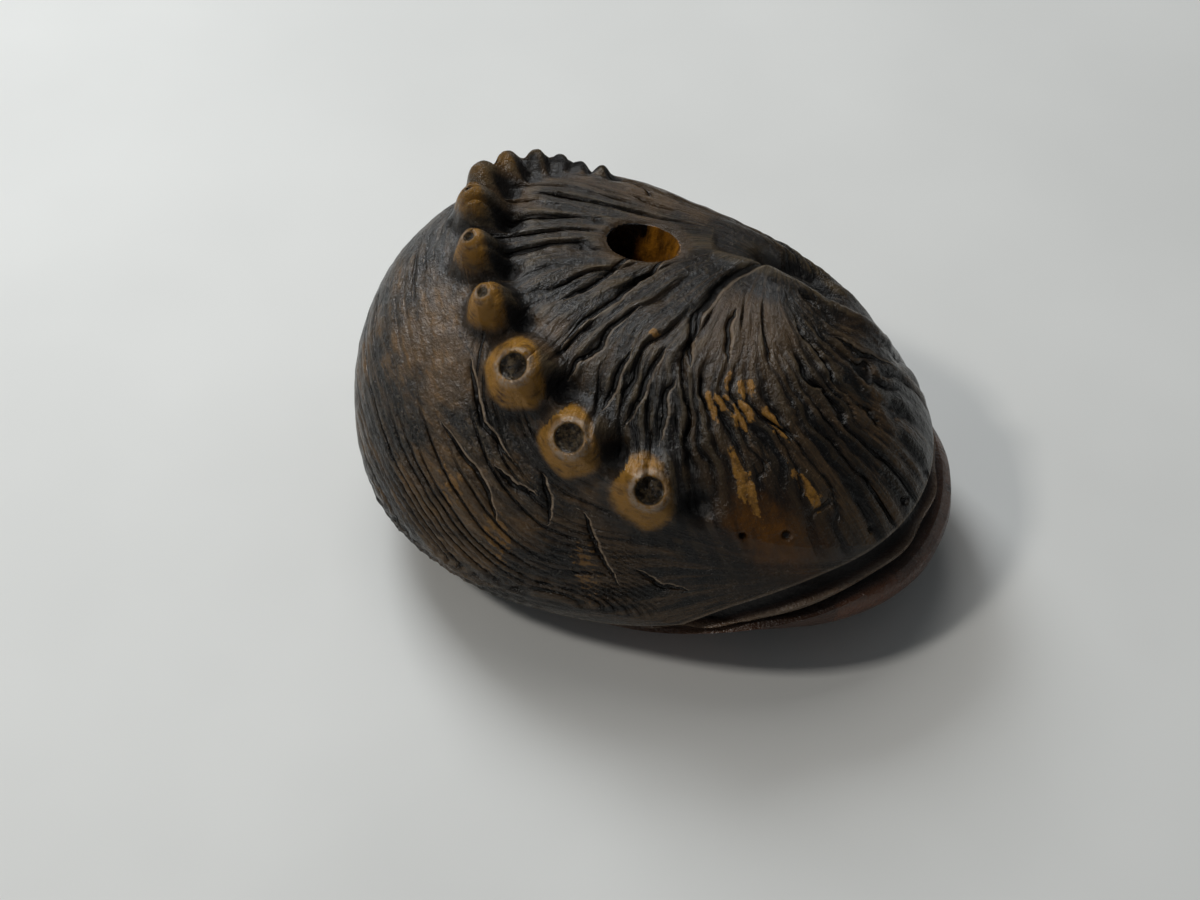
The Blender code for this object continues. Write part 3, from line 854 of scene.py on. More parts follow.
    def cleft_relief(self) -> Array:
        """The deep cleft behind the near lobe, the lobe's rolled lip and the ridges behind, with a painted
        shadow in the cleft.

        Returns:
            Height over the plain body at each point.
        """
        gap, share, side = self.along_line(CLEFT)
        ends = np.sin(np.clip(share, 0.0, 1.0) * math.pi) ** 0.5
        deep = 0.45 + 1.0 * bump(share - 0.50, 0.20)
        groove = bump(gap - 0.35 * MM * side, 1.0 * MM) * ends * deep
        near_lip = bump(gap - 1.35 * MM, 0.75 * MM) * ends * (side < 0.0)
        ridges = bump(gap - 2.6 * MM, 0.5 * MM) + 0.7 * bump(gap - 3.7 * MM, 0.4 * MM)
        ridges *= ends * (side > 0.0)
        # Painted shadow: the cleft and its far wall are coloured black, as shade falls there.
        shadow = smooth_step(gap, 2.0 * MM, 1.4 * MM) * (side > 0.0) * smooth_step(deep * ends, 0.5, 1.1)
        shadow = np.maximum(shadow, smooth_step(groove, 0.25, 0.7))
        self.mark("cut", shadow)
        # Painted highlight: a pale line along the crest of the lip.
        self.mark("pale", 0.4 * bump(gap - 0.95 * MM, 0.25 * MM) * (side < 0.0) * ends)
        behind, share, _ = self.along_line(LIP_GAP)
        hollow = bump(behind, 0.62 * MM) * np.sin(np.clip(share, 0.0, 1.0) * math.pi) ** 0.5
        # Painted shade: the gap behind the knob is coloured dark.
        self.mark("cut", smooth_step(hollow, 0.30, 0.62))
        raised = self.lip_rise * near_lip + self.ridge_rise * ridges
        return raised - self.cleft_depth * groove - self.lip_gap_depth * hollow

    def cut_relief(self) -> Array:
        """The larger cuts, each a narrow valley that tapers out at both ends, and the pin holes.

        A pin hole keeps the side of a cut that gets no painted glint beside it.

        Returns:
            Height over the plain body at each point.
        """
        total = np.zeros_like(self.lift)
        for cut in CUTS:
            gap, share, side = self.along_line(cut.places)
            wobble = 0.11 * MM * lattice_noise(share * 9.0, gap * 0.0, gap * 0.0, len(cut.places))
            wobble += 0.05 * MM * lattice_noise(share * 31.0, gap * 0.0, gap * 0.0, 9)
            width = cut.spread * MM * np.sin(np.clip(share, 0.02, 0.98) * math.pi) ** 0.45
            ratio = (side * gap + wobble) / width
            valley = np.exp(-((ratio / 1.5) ** 2)) * (width / cut.spread / MM)
            total = np.maximum(total, 0.75 * cut.depth * MM * valley)
            self.mark_cut(ratio)
        for place, width in PITS:
            spot = self.body.surface(*(np.array([math.radians(angle)]) for angle in place))[0]
            ratio = np.linalg.norm(self.base - spot, axis=-1) / (width * MM / 2.0)
            self.mark_cut(-ratio)
            total = np.maximum(total, 0.30 * MM * np.exp(-ratio ** 4))
        return -total

    def rub_marks(self) -> None:
        """Marks the places where handling has worn the stain off the crests."""
        for rub in RUBS:
            spot = self.seat(rub.middle)
            offset = (self.base - spot) / MM
            turn = math.radians(rub.turn)
            east = offset[..., 0] * math.cos(turn) + offset[..., 1] * math.sin(turn)
            north = offset[..., 1] * math.cos(turn) - offset[..., 0] * math.sin(turn)
            spread = (north / rub.reach[0]) ** 2 + (east / rub.reach[1]) ** 2
            high = np.abs(offset[..., 2]) < 4.0
            self.mark("rub", rub.strength * np.exp(-(spread ** 1.5)) * high)
        self.masks["shoulder"] = self.smooth_zone()

    def raise_nubs(self, points: Array) -> Array:
        """Cuts a notch to the right of each nub, coloured dark partly as a painted shadow, then raises the
        nubs and hollows the larger.

        A nub's height is the exponential of minus the distance from its axis, over its
        half width, to the power of its bluntness, and its half width varies a little
        round it, as a knife leaves it. Where two nubs meet, the higher one stays.

        Args:
            points: Points of every ring but the flat's.

        Returns:
            The points with the nubs on them.
        """
        rise = np.zeros_like(self.lift)
        way = np.zeros_like(self.base)
        places = [self.nub_frame(nub, points) for nub in NUBS]
        for nub, (_, east, north, near) in zip(NUBS, places):
            width = self.notch_width * (0.5 + 0.5 * nub.width / 0.0054)
            away = np.hypot((east - 0.58 * nub.width) / 1.1, north + 0.02 * nub.width)
            notch = bump(away, width) * near
            sunk = self.notch_depth * min(1.0, nub.width / 0.0042) * notch
            points = points - self.normal * sunk[..., None]
            # Partly painted shadow: the notch is coloured dark over the nub's shaded right side.
            self.mark("cut", smooth_step(notch, 0.18, 0.62))
        for index, (nub, (axis, east, north, near)) in enumerate(zip(NUBS, places)):
            half = nub.width / 2.0
            around = np.arctan2(north, east)
            facet = 1.0 + 0.03 * np.cos(5.0 * around + index * 1.7) + 0.015 * np.cos(9.0 * around + index)
            radius = np.where(near, np.hypot(east, north) / (half * 0.92 * facet), FAR)
            hill = nub.height * np.exp(-(radius ** nub.bluntness))
            if nub.hollow > 0.0:
                hill = self.drill(hill, nub, np.hypot(east + nub.hollow_aside * nub.width, north), near)
            higher = hill > rise
            rise = np.where(higher, hill, rise)
            way = np.where(higher[..., None], axis, way)
            self.masks["nub_gap"] = np.minimum(self.masks["nub_gap"], radius)
            # Painted light: the rubbed amber is laid only on the nub's lit left side, so the shaded right
            # side stays dark.
            lit = smooth_step(0.62 - (0.55 * east + 0.35 * north) / half, 0.0, 0.6)
            amber = nub.amber * smooth_step(radius, 1.5, 0.6) * lit
            self.masks["amber"] = np.where(radius < 1.6, amber, self.masks["amber"])
        return points + way * rise[..., None]

    def nub_frame(self, nub: Nub, points: Array) -> tuple[Array, Array, Array, Array]:
        """A nub's axis, each point's distances east and north of it, and which points are near.

        Args:
            nub: The nub.
            points: The carved points so far.

        Returns:
            Axis, distances east, distances north, and which points are near.
        """
        spot = (np.array([math.radians(nub.bearing)]), np.array([math.radians(nub.lift)]))
        axis = self.body.normals(*spot)[0]
        middle = self.body.surface(*spot)[0] + self.row_height * axis
        right = np.array([1.0, -0.12, 0.0])
        right -= axis * (right @ axis)
        right /= np.linalg.norm(right)
        offset = points - middle
        near = (np.linalg.norm(offset, axis=-1) < 1.6 * nub.width) & (self.lift > 0.0)
        return axis, offset @ right, offset @ np.cross(axis, right), near

    def drill(self, hill: Array, nub: Nub, away: Array, near: Array) -> Array:
        """Sinks the hollow in a nub's top, with a worn ring round its mouth.

        Args:
            hill: Height of the nub.
            nub: The nub.
            away: Distance of each point from the hollow's axis.
            near: Which points are near the nub.

        Returns:
            Height of the nub with its hollow.
        """
        ratio = np.where(near, away / (nub.hollow / 2.0), FAR)
        self.masks["hollow"] = np.minimum(self.masks["hollow"], ratio)
        depth = min(0.55 * MM, nub.hollow * 0.35)
        ring = bump(away - nub.hollow * 0.64, 0.2 * MM) * near * (nub.hollow > MM)
        return hill - depth * smooth_step(ratio, 1.12, 0.75) + 0.10 * MM * ring

    def carve_under(self, points: Array) -> Array:
        """Cuts the groove under the rim and colours it dark as painted shade, leaves the wavy frill in it,
        and swells the foot.

        Args:
            points: Points of every ring but the flat's.

        Returns:
            The same points, carved.
        """
        rim_ring = self.dome_rings + self.rim_rings
        foot_ring = rim_ring + self.under_rings
        bearing = self.bearing[rim_ring]
        share = self.under_shares[:, None]
        wave = self.frill_wave * np.cos(self.frill_waves * bearing + 1.3 * np.sin(5.0 * bearing))
        open_part = smooth_step(share, 0.0, 0.16) * smooth_step(share, 1.0, 0.86)
        frill = bump(share - 0.62, 0.13)
        inset = self.groove_depth * open_part - (self.groove_depth - self.frill_depth + wave) * frill
        under = slice(rim_ring, foot_ring)
        points[under] = self.base[under] - self.normal[under] * inset[..., None]
        # Painted shade: the groove under the rim is coloured dark, except on the frill.
        self.masks["cut"][under] = np.clip(open_part - frill * 1.2, 0.0, 1.0)
        self.masks["pale"][under] = 0.65 * smooth_step(frill, 0.5, 0.95)
        worn_edge = np.array([0.0, 0.1, 0.3, 0.5, 0.5])[:, None]
        edge = slice(rim_ring - len(worn_edge), rim_ring)
        self.masks["pale"][edge] = np.maximum(self.masks["pale"][edge], worn_edge)

        front = self.body.window(bearing, 8.0, (12.0, 62.0))
        proud = self.foot_proud_back + (self.foot_proud - self.foot_proud_back) * front
        share = self.foot_shares[:, None]
        bulge = np.abs(np.sin(math.pi * share ** 0.72)) ** 0.8
        foot = slice(foot_ring, self.ring_total())
        folds = ring_noise(bearing, 9.0, share * 1.2, 41)
        swell = proud * bulge + 0.07 * MM * folds * (1.0 - share ** 4) * bulge
        points[foot] = self.base[foot] + self.normal[foot] * swell[..., None]
        points[foot][..., 2] = np.maximum(points[foot][..., 2], 0.0)
        points[-1, :, 2] = 0.0
        self.masks["red"][foot] = 1.0
        self.masks["red"][under] = 0.55
        return points


@dataclass
class Dresser:
    """Turns the carved grid into the finished piece, with its bore and its attributes.

    Attributes:
        carving: The carved surface.
        node: The solid that the piece stands for.
        bore_sides: Sides of the cord hole.
        bore_rings: Rings along the cord hole.
        bore_spare: How far the cutter runs past the body at either end.
        sharp_angle: Angle between faces, in degrees, past which an edge stays crisp.
        wall_share: Share of the cord hole's radius within which a point lies on its wall.
    """

    carving: Carving
    node: str = "netsuke"
    bore_sides: int = 64
    bore_rings: int = 60
    bore_spare: float = 0.004
    sharp_angle: float = 62.0
    wall_share: float = 1.05

    def build(self) -> bpy.types.Object:
        """Carves, pierces and seats the piece.

        Returns:
            The finished object, with one attribute for each mask.
        """
        rings = self.carving.shape()
        points = np.vstack([rings.reshape(-1, 3), rings[0].mean(axis=0), rings[-1].mean(axis=0)])
        self.measure_seat(points)
        piece = self.new_object("abalone_carving", self.seat(points), closed_tube(*rings.shape[:2]))
        for name, values in self.grid_masks().items():
            self.write_attribute(piece.data, name, values)
        # The cutter's points go round the other way, so its triangles are turned
        turned = closed_tube(self.bore_rings, self.bore_sides)[:, ::-1]
        cutter = self.new_object("bore_cutter", self.seat(self.bore_points()), turned)
        self.pierce(piece, cutter)
        self.fill_new_places(piece.data)
        piece.data.shade_smooth()
        piece.data.set_sharp_from_angle(angle=math.radians(self.sharp_angle))
        return piece

    def grid_masks(self) -> dict[str, Array]:
        """Every mask as one value for each point of the mesh, in the order of its points.

        Returns:
            Masks by name.
        """
        carving = self.carving
        masks = dict(carving.masks)
        masks["cut"] = np.maximum(masks["cut"], masks.pop("band_cut"))
        inside = carving.inside[..., None]
        folds = (np.cos(carving.meridian) * 7.0, np.sin(carving.meridian) * 7.0, carving.share * 2.4)
        bands = (carving.depth * 9.0, np.cos(carving.bearing) * 1.6, np.sin(carving.bearing) * 1.6)
        flow = np.stack(folds, axis=-1) * inside + (np.stack(bands, axis=-1) + 20.0) * (1.0 - inside)
        for axis, name in enumerate(("flow_x", "flow_y", "flow_z")):
            masks[name] = flow[..., axis]
        return {name: self.finish_mask(values) for name, values in masks.items()}

    def finish_mask(self, values: Array) -> Array:
        """Carries a mask on over the flat and the two poles.

        Args:
            values: One value for each point of the rings.

        Returns:
            One for each point of the mesh.
        """
        flat = np.repeat(values[-1:], self.carving.flat_rings, axis=0)
        ends = [values[0].mean(), values[-1].mean()]
        return np.concatenate([values.ravel(), flat.ravel(), ends])

    def measure_seat(self, points: Array) -> None:
        """Finds the shift and the slight stretch that bring the carving into the solid's box.

        Args:
            points: Every point of the carving.
        """
        low, high = (np.array(corner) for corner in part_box(self.node))
        self.scale = (high - low) / np.ptp(points, axis=0)
        self.shift = low - points.min(axis=0) * self.scale
        LOG.info("seat: scale %s shift %s mm", np.round(self.scale, 4), np.round(self.shift / MM, 3))

    def seat(self, points: Array) -> Array:
        """Places of the body's points in the frame."""
        return points * self.scale + self.shift

    def new_object(self, name: str, points: Array, faces: Array) -> bpy.types.Object:
        """Makes a triangle mesh object at the origin.

        Args:
            name: Name of the object.
            points: Places in the frame.
            faces: Three point numbers for each triangle.

        Returns:
            The object, linked to the scene.
        """
        mesh = bpy.data.meshes.new(name)
        mesh.vertices.add(len(points))
        mesh.vertices.foreach_set("co", points.astype(np.float32).ravel())
        mesh.loops.add(len(faces) * 3)
        mesh.loops.foreach_set("vertex_index", faces.astype(np.int32).ravel())
        mesh.polygons.add(len(faces))
        mesh.polygons.foreach_set("loop_start", np.arange(0, len(faces) * 3, 3, dtype=np.int32))
        mesh.update(calc_edges=True)
        mesh.validate()
        piece = bpy.data.objects.new(name, mesh)
        bpy.context.scene.collection.objects.link(piece)
        return piece

    def write_attribute(self, mesh: bpy.types.Mesh, name: str, values: Array) -> None:
        """Puts one number for each point on the mesh."""
        found = mesh.attributes.get(name) or mesh.attributes.new(name, "FLOAT", "POINT")
        found.data.foreach_set("value", values.astype(np.float32))

    def bore_points(self) -> Array:
        """A tube along the cord hole, its radius wandering a little as a hand drill leaves it.

        Returns:
            Points of its rings, from above the body down, and its two poles.
        """
        top, bottom, run = self.carving.bore_axis()
        side, other = self.carving.bore_halves()
        along = np.linspace(-self.bore_spare, np.linalg.norm(bottom - top) + self.bore_spare, self.bore_rings)
        turn = np.arange(self.bore_sides) * 2.0 * math.pi / self.bore_sides
        marks = 0.05 * MM * ring_noise(turn, 1.6, along[:, None] / (1.2 * MM), 51)
        radius = 1.0 + marks / (self.carving.bore_width / 2.0)
        ring = np.cos(turn)[:, None] * side + np.sin(turn)[:, None] * other
        tube = top + run * along[:, None, None] + ring * radius[..., None]
        ends = np.stack([top + run * along[0], top + run * along[-1]])
        return np.vstack([tube.reshape(-1, 3), ends])

    def pierce(self, piece: bpy.types.Object, cutter: bpy.types.Object) -> None:
        """Cuts the cord hole and applies the cut to the mesh.

        Args:
            piece: The carving.
            cutter: The tube, which is removed.
        """
        hole = piece.modifiers.new("cord_hole", "BOOLEAN")
        hole.operation = "DIFFERENCE"
        hole.solver = "EXACT"
        hole.object = cutter
        bpy.context.view_layer.update()
        cut = bpy.data.meshes.new_from_object(piece.evaluated_get(bpy.context.evaluated_depsgraph_get()))
        piece.modifiers.clear()
        piece.data = cut
        cut.name = piece.name
        bpy.data.objects.remove(cutter)

    def tube_places(self, places: Array) -> tuple[Array, Array]:
        """Places across the cord hole for places in the frame, as shares of its oval radii.

        Args:
            places: Places in the frame.

        Returns:
            Shares of the wider half width, positive to the right, and of the narrower.
        """
        offset = (places - self.shift) / self.scale - self.carving.bore_axis()[0]
        wide, narrow = (offset @ side / (side @ side) for side in self.carving.bore_halves())
        return wide, narrow

    def fill_new_places(self, mesh: bpy.types.Mesh) -> None:
        """Marks the cord hole's wall and gives its points the masks of the nearest points past it.

        A point lies on the wall where its place across the hole is within wall_share.

        Args:
            mesh: The pierced mesh.
        """
        places = np.empty(len(mesh.vertices) * 3, np.float32)
        mesh.vertices.foreach_get("co", places)
        places = places.reshape(-1, 3).astype(float)
        wide, narrow = self.tube_places(places)
        ratio = np.hypot(wide, narrow)
        fresh = np.flatnonzero(ratio < self.wall_share)
        near = np.flatnonzero((ratio >= self.wall_share) & (ratio < 2.0 * self.wall_share))
        gaps = ((places[fresh][:, None] - places[near][None]) ** 2).sum(-1)
        nearest = near[gaps.argmin(axis=1)]
        for name in [item.name for item in mesh.attributes if item.data_type == "FLOAT"]:
            values = self.read_attribute(mesh, name)
            values[fresh] = values[nearest]
            self.write_attribute(mesh, name, values)
        depth = 1.0 - places[:, 2] / np.ptp(places[:, 2])
        self.write_attribute(mesh, "bore_depth", depth)
        self.write_attribute(mesh, "bore_side", wide)
        corners = np.empty(len(mesh.loops), np.int32)
        mesh.loops.foreach_get("vertex_index", corners)
        starts = np.empty(len(mesh.polygons), np.int32)
        mesh.polygons.foreach_get("loop_start", starts)
        wall = np.logical_and.reduceat((ratio < self.wall_share)[corners], starts)
        LOG.info("cord hole: %d faces of its wall", int(wall.sum()))
        found = mesh.attributes.new("bore", "FLOAT", "FACE")
        found.data.foreach_set("value", wall.astype(np.float32))

    def read_attribute(self, mesh: bpy.types.Mesh, name: str) -> Array:
        """The values of one attribute, as numbers that can be changed.

        Args:
            mesh: The mesh.
            name: Name of the attribute.

        Returns:
            One value a point.
        """
        values = np.empty(len(mesh.vertices), np.float32)
        mesh.attributes[name].data.foreach_get("value", values)
        return values.astype(float)


Link = "Term | float | tuple[float, ...]"


@dataclass(frozen=True)
class Term:
    """A socket's value, whose operators add Math nodes."""

    tree: "Tree"
    socket: bpy.types.NodeSocket

    def math(self, operation: str, first: Link, second: Link) -> "Term":
        """Adds one Math node on two values."""
        return self.tree.node("ShaderNodeMath", {"operation": operation}, {0: first, 1: second})

    def __add__(self, other: Link) -> "Term":
        """This value plus another."""
        return self.math("ADD", self, other)

    def __radd__(self, other: Link) -> "Term":
        """Another value plus this one."""
        return self.math("ADD", other, self)

    def __sub__(self, other: Link) -> "Term":
        """This value minus another."""
        return self.math("SUBTRACT", self, other)

    def __rsub__(self, other: Link) -> "Term":
        """Another value minus this one."""
        return self.math("SUBTRACT", other, self)

    def __mul__(self, other: Link) -> "Term":
        """This value times another."""
        return self.math("MULTIPLY", self, other)

    def __rmul__(self, other: Link) -> "Term":
        """Another value times this one."""
        return self.math("MULTIPLY", other, self)

    def __pow__(self, other: Link) -> "Term":
        """This value to a power."""
        return self.math("POWER", self, other)

    def step(self, low: float, high: float) -> "Term":
        """A smooth rise from 0 at low to 1 at high; a fall where low is the larger.

        Args:
            low: Value at the start.
            high: Value at the end.

        Returns:
            Share from 0 to 1.
        """
        start, end = (low, high) if low < high else (high, low)
        limits = (0.0, 1.0) if low < high else (1.0, 0.0)
        settings = {"interpolation_type": "SMOOTHSTEP"}
        values = {"Value": self, "From Min": start, "From Max": end, "To Min": limits[0], "To Max": limits[1]}
        return self.tree.node("ShaderNodeMapRange", settings, values)

    def most(self, other: Link) -> "Term":
        """The larger of this value and another."""
        return self.math("MAXIMUM", self, other)

    def least(self, other: Link) -> "Term":
        """The smaller of this value and another."""
        return self.math("MINIMUM", self, other)


class Tree:
    """The node tree of one material."""

    def __init__(self, name: str) -> None:
        """Starts an empty material of that name.

        Args:
            name: Name of the material.
        """
        self.material = bpy.data.materials.new(name)
        self.material.use_nodes = True
        self.material.node_tree.nodes.clear()
        self.masks: dict[str, Term] = {}

    def node(self, kind: str, settings: dict, values: dict, output: str | int = 0) -> Term:
        """Adds a node.

        Args:
            kind: Its type.
            settings: Its own settings, set first.
            values: Its sockets' values or links, by identifier, name or number.
            output: Identifier, name or number of the socket that is used.

        Returns:
            That output.
        """
        made = self.material.node_tree.nodes.new(kind)
        for name, value in settings.items():
            setattr(made, name, value)
        for key, value in values.items():
            socket = self.find(made.inputs, key)
            if isinstance(value, Term):
                self.material.node_tree.links.new(value.socket, socket)
            else:
                socket.default_value = value
        return Term(self, self.find(made.outputs, output))

    @staticmethod
    def find(sockets: bpy.types.bpy_prop_collection, key: str | int) -> bpy.types.NodeSocket:
        """The socket with that identifier, name or number.

        Args:
            sockets: A node's inputs or outputs.
            key: What names the socket.

        Returns:
            The socket.
        """
        if isinstance(key, int):
            return sockets[key]
        exact = [socket for socket in sockets if socket.identifier == key]
        return exact[0] if exact else next(socket for socket in sockets if socket.name == key)

    def mask(self, name: str) -> Term:
        """A mask of the piece, read by one node however often it is asked for.

        Args:
            name: Name of the attribute.

        Returns:
            Its value.
        """
        if name not in self.masks:
            settings = {"attribute_type": "GEOMETRY", "attribute_name": name}
            self.masks[name] = self.node("ShaderNodeAttribute", settings, {}, "Fac")
        return self.masks[name]

    def blend(self, share: Link, first: Link, second: Link) -> Term:
        """Colour that goes from the first to the second as share goes from 0 to 1."""
        values = {"Factor_Float": share, "A_Color": first, "B_Color": second}
        return self.node("ShaderNodeMix", {"data_type": "RGBA"}, values, "Result_Color")

    def noise(self, place: Term, scale: float, detail: float, roughness: float = 0.5) -> Term:
        """Soft noise from 0 to 1 with so many cells to the unit."""
        values = {"Vector": place, "Scale": scale, "Detail": detail, "Roughness": roughness}
        return self.node("ShaderNodeTexNoise", {}, values, "Fac")

    def stretch(self, place: Term, factors: tuple[float, float, float]) -> Term:
        """Places with each coordinate times its factor."""
        return self.node("ShaderNodeVectorMath", {"operation": "MULTIPLY"}, {0: place, 1: factors}, "Vector")

    def finish(self, colour: Link, roughness: Link, others: dict) -> bpy.types.Material:
        """Ends the tree in a Principled shader.

        Args:
            colour: Its base colour.
            roughness: Its roughness.
            others: Its other sockets' values or links, by name.

        Returns:
            The finished material.
        """
        values = {"Base Color": colour, "Roughness": roughness, **others}
        shader = self.node("ShaderNodeBsdfPrincipled", {}, values)
        end = self.material.node_tree.nodes.new("ShaderNodeOutputMaterial")
        self.material.node_tree.links.new(shader.socket, end.inputs["Surface"])
        return self.material


@dataclass
class Coat:
    """A colour over which others are laid, one after another."""

    tree: Tree
    colour: Link

    def over(self, share: Link, paint: Link) -> None:
        """Lays a colour over this one, fully where share is 1 and not at all where it is 0."""
        self.colour = self.tree.blend(share, self.colour, paint)


class WoodTree(Tree):
    """The tree of the carving's finish, with the noises and shares that its layers have in common."""

    def __init__(self, name: str) -> None:
        """Starts the material and adds the noises, the coarse ones first.

        Args:
            name: Name of the material.
        """
        super().__init__(name)
        self.place = self.node("ShaderNodeTexCoord", {}, {}, "Object")
        flow_parts = {index: self.mask("flow_" + axis) for index, axis in enumerate("xyz")}
        flow = self.node("ShaderNodeCombineXYZ", {}, flow_parts)
        self.broad = self.noise(flow, 1.7, 4.0, 0.6)
        self.streak = self.noise(flow, 3.2, 5.0, 0.62)
        self.fine_streak = self.noise(flow, 11.0, 4.0, 0.65)
        self.cloud = self.noise(self.place, 130.0, 3.0)
        self.mottle = self.noise(self.place, 420.0, 5.0, 0.7)
        self.chip = self.noise(self.place, 1100.0, 4.0, 0.65)
        self.grain = self.noise(self.place, 2600.0, 3.0, 0.7)
        self.weave = self.noise(self.stretch(self.place, (1.0, 0.35, 1.0)), 5200.0, 3.0, 0.6)
        self.speck = self.noise(self.place, 6500.0, 2.0)
        self.outside = 1.0 - self.mask("inside")
        self.off_shoulder = 1.0 - self.mask("shoulder")

    def line(self, lines: Lines, low: float, high: float) -> Term:
        """Thin dark lines where a count of lines is whole and the cut there is open.

        Args:
            lines: Which family, kept on the piece as a cosine, a sine and how far it is open.
            low: Cosine at which a line starts.
            high: Cosine at which it is full.

        Returns:
            1 in the lines and 0 between them.
        """
        cosine, sine = self.mask(lines.value + "_cos"), self.mask(lines.value + "_sin")
        length = (cosine * cosine + sine * sine) ** 0.5
        return (cosine * (length.most(0.05) ** -1.0)).step(low, high) * self.mask(lines.value + "_open")


def shade(red: float, green: float, blue: float) -> tuple[float, float, float, float]:
    """A colour that is named by its screen values, from 0 to 255, as the shader's light values.

    Args:
        red: Red.
        green: Green.
        blue: Blue.

    Returns:
        Light values, with an alpha of 1.
    """
    screen = np.array([red, green, blue]) / 255.0
    light = np.where(screen <= 0.04045, screen / 12.92, ((screen + 0.055) / 1.055) ** 2.4)
    return (*[float(value) for value in light], 1.0)


@dataclass(frozen=True)
class StainedWood:
    """Close-grained wood under dark stain and wax, rubbed through where hands reach.

    Attributes:
        pit: Stain in the deepest cuts, and the black of the painted shade and shadows in the cleft, the gap
            behind the knob, the groove under the rim, the nubs' notches and moats, the front, the fan and the
            cord hole.
        cool: Waxed stain on the broad surfaces.
        warm: Thinner stain, where the wood shows brown.
        bark: Brown patches along the growth bands.
        crest: Edges that handling has greyed.
        rubbed: Wood with the stain worn off.
        amber: Wood under old wax, on the nubs.
        ember: Darker rings in bare wood, and the ground of the golden shoulder.
        gold: The golden shoulder in front.
        foot: The reddish wood of the foot.
        pale: Bruised edges, and painted highlights on the cleft's lip and beside cuts and band lines.
        honey: Bare wood inside the cord hole.
        roughness: Roughness of the waxed surface.
        gloss: Specular level of the wax.
        relief_depth: Height that the finest grain stands for.
    """

    pit: tuple = shade(8, 7, 7)
    cool: tuple = shade(29, 27, 25)
    warm: tuple = shade(86, 67, 46)
    bark: tuple = shade(112, 84, 50)
    crest: tuple = shade(92, 78, 56)
    rubbed: tuple = shade(158, 114, 55)
    amber: tuple = shade(144, 103, 38)
    ember: tuple = shade(54, 32, 10)
    gold: tuple = shade(108, 67, 12)
    foot: tuple = shade(104, 64, 42)
    pale: tuple = shade(150, 132, 112)
    honey: tuple = shade(162, 108, 32)
    roughness: float = 0.19
    gloss: float = 0.36
    relief_depth: float = 0.14 * MM

    def dress(self, piece: bpy.types.Object) -> None:
        """Builds the finish and gives it to the piece.

        Args:
            piece: The carving.
        """
        tree = WoodTree("stained_wood_finish")
        coat = self.stain(tree)
        self.tint_parts(tree, coat)
        self.wear(tree, coat)
        cuts = self.darken_cuts(tree, coat)
        self.tint_nubs(tree, coat)
        self.line_bore(tree, coat)
        rough = self.roughness + 0.2 * (tree.grain - 0.5)
        rough = rough + 0.25 * tree.mask("cut") - 0.12 * tree.mask("amber")
        relief = tree.grain * 0.8 + tree.fine_streak * 0.9 + tree.speck * 0.3 + tree.weave * 0.4
        relief = relief + tree.chip * 1.6 - cuts * 1.2
        bumpy = {"Strength": 0.8, "Distance": self.relief_depth, "Height": relief}
        normal = tree.node("ShaderNodeBump", {}, bumpy, "Normal")
        others = {"Normal": normal, "Specular IOR Level": self.gloss}
        piece.data.materials.clear()
        piece.data.materials.append(tree.finish(coat.colour, rough, others))

    def stain(self, tree: WoodTree) -> Coat:
        """The uneven stain of the whole shell: browner in clouds, darker in streaks, grey on crests.

        Args:
            tree: The finish's tree.

        Returns:
            The colour so far.
        """
        streak, fine_streak = tree.streak, tree.fine_streak
        brown = (tree.cloud.step(0.44, 0.62) * 0.8 + streak.step(0.45, 0.7) * 0.5).least(1.0)
        coat = Coat(tree, tree.blend(brown, self.cool, self.warm))
        patch = tree.outside * streak.step(0.50, 0.60) * fine_streak.step(0.40, 0.60)
        coat.over(patch * tree.cloud.step(0.40, 0.56) * 0.8, self.bark)
        coat.over(tree.outside * streak.step(0.46, 0.38) * 0.6, self.pit)
        lifted = tree.mask("crest").step(0.0, 1.2) * (0.3 + 0.7 * streak.step(0.38, 0.6))
        coat.over(lifted * 0.8, self.crest)
        coat.over(fine_streak.step(0.52, 0.72) * 0.4, self.pit)
        coat.over(tree.weave.step(0.52, 0.7) * 0.35, self.crest)
        return coat

    def tint_parts(self, tree: WoodTree, coat: Coat) -> None:
        """The golden shoulder, the cord hole's lip, the fan with painted shade over it, painted shade over
        the low front and the right slope, and the foot.

        Args:
            tree: The finish's tree.
            coat: The colour so far.
        """
        shoulder = tree.mask("shoulder") * (0.55 + 0.45 * tree.mottle.step(0.40, 0.6))
        coat.over(shoulder.most(tree.mask("knob") * 0.45), self.ember)
        glow = (tree.mask("shoulder") + (tree.mottle - 0.5) * 1.2).step(0.60, 1.25)
        coat.over(glow * 0.95, self.gold)
        coat.over(tree.mask("mouth") * 0.5, self.warm)
        fan = tree.mask("fan")
        between = (tree.mask("rope_cos") + (tree.fine_streak - 0.5) * 1.2).step(-0.75, 0.25)
        coat.over((1.0 - between) * fan * tree.streak.step(0.4, 0.6) * 0.5, self.crest)
        # The valleys between the ropes are stained dark, and the whole fan is darkened at least in part as
        # painted shade.
        coat.over((between * 0.88).most(0.40) * fan, self.pit)
        # Painted shade: the low front and the right slope are darkened.
        low = tree.mask("low") * tree.off_shoulder
        coat.over(low * 0.6, self.pit)
        broad = tree.broad.step(0.46, 0.58) * (0.35 + 0.5 * tree.fine_streak.step(0.4, 0.6))
        coat.over(broad * low, self.warm)
        coat.over(tree.mask("red") * 0.9, self.foot)

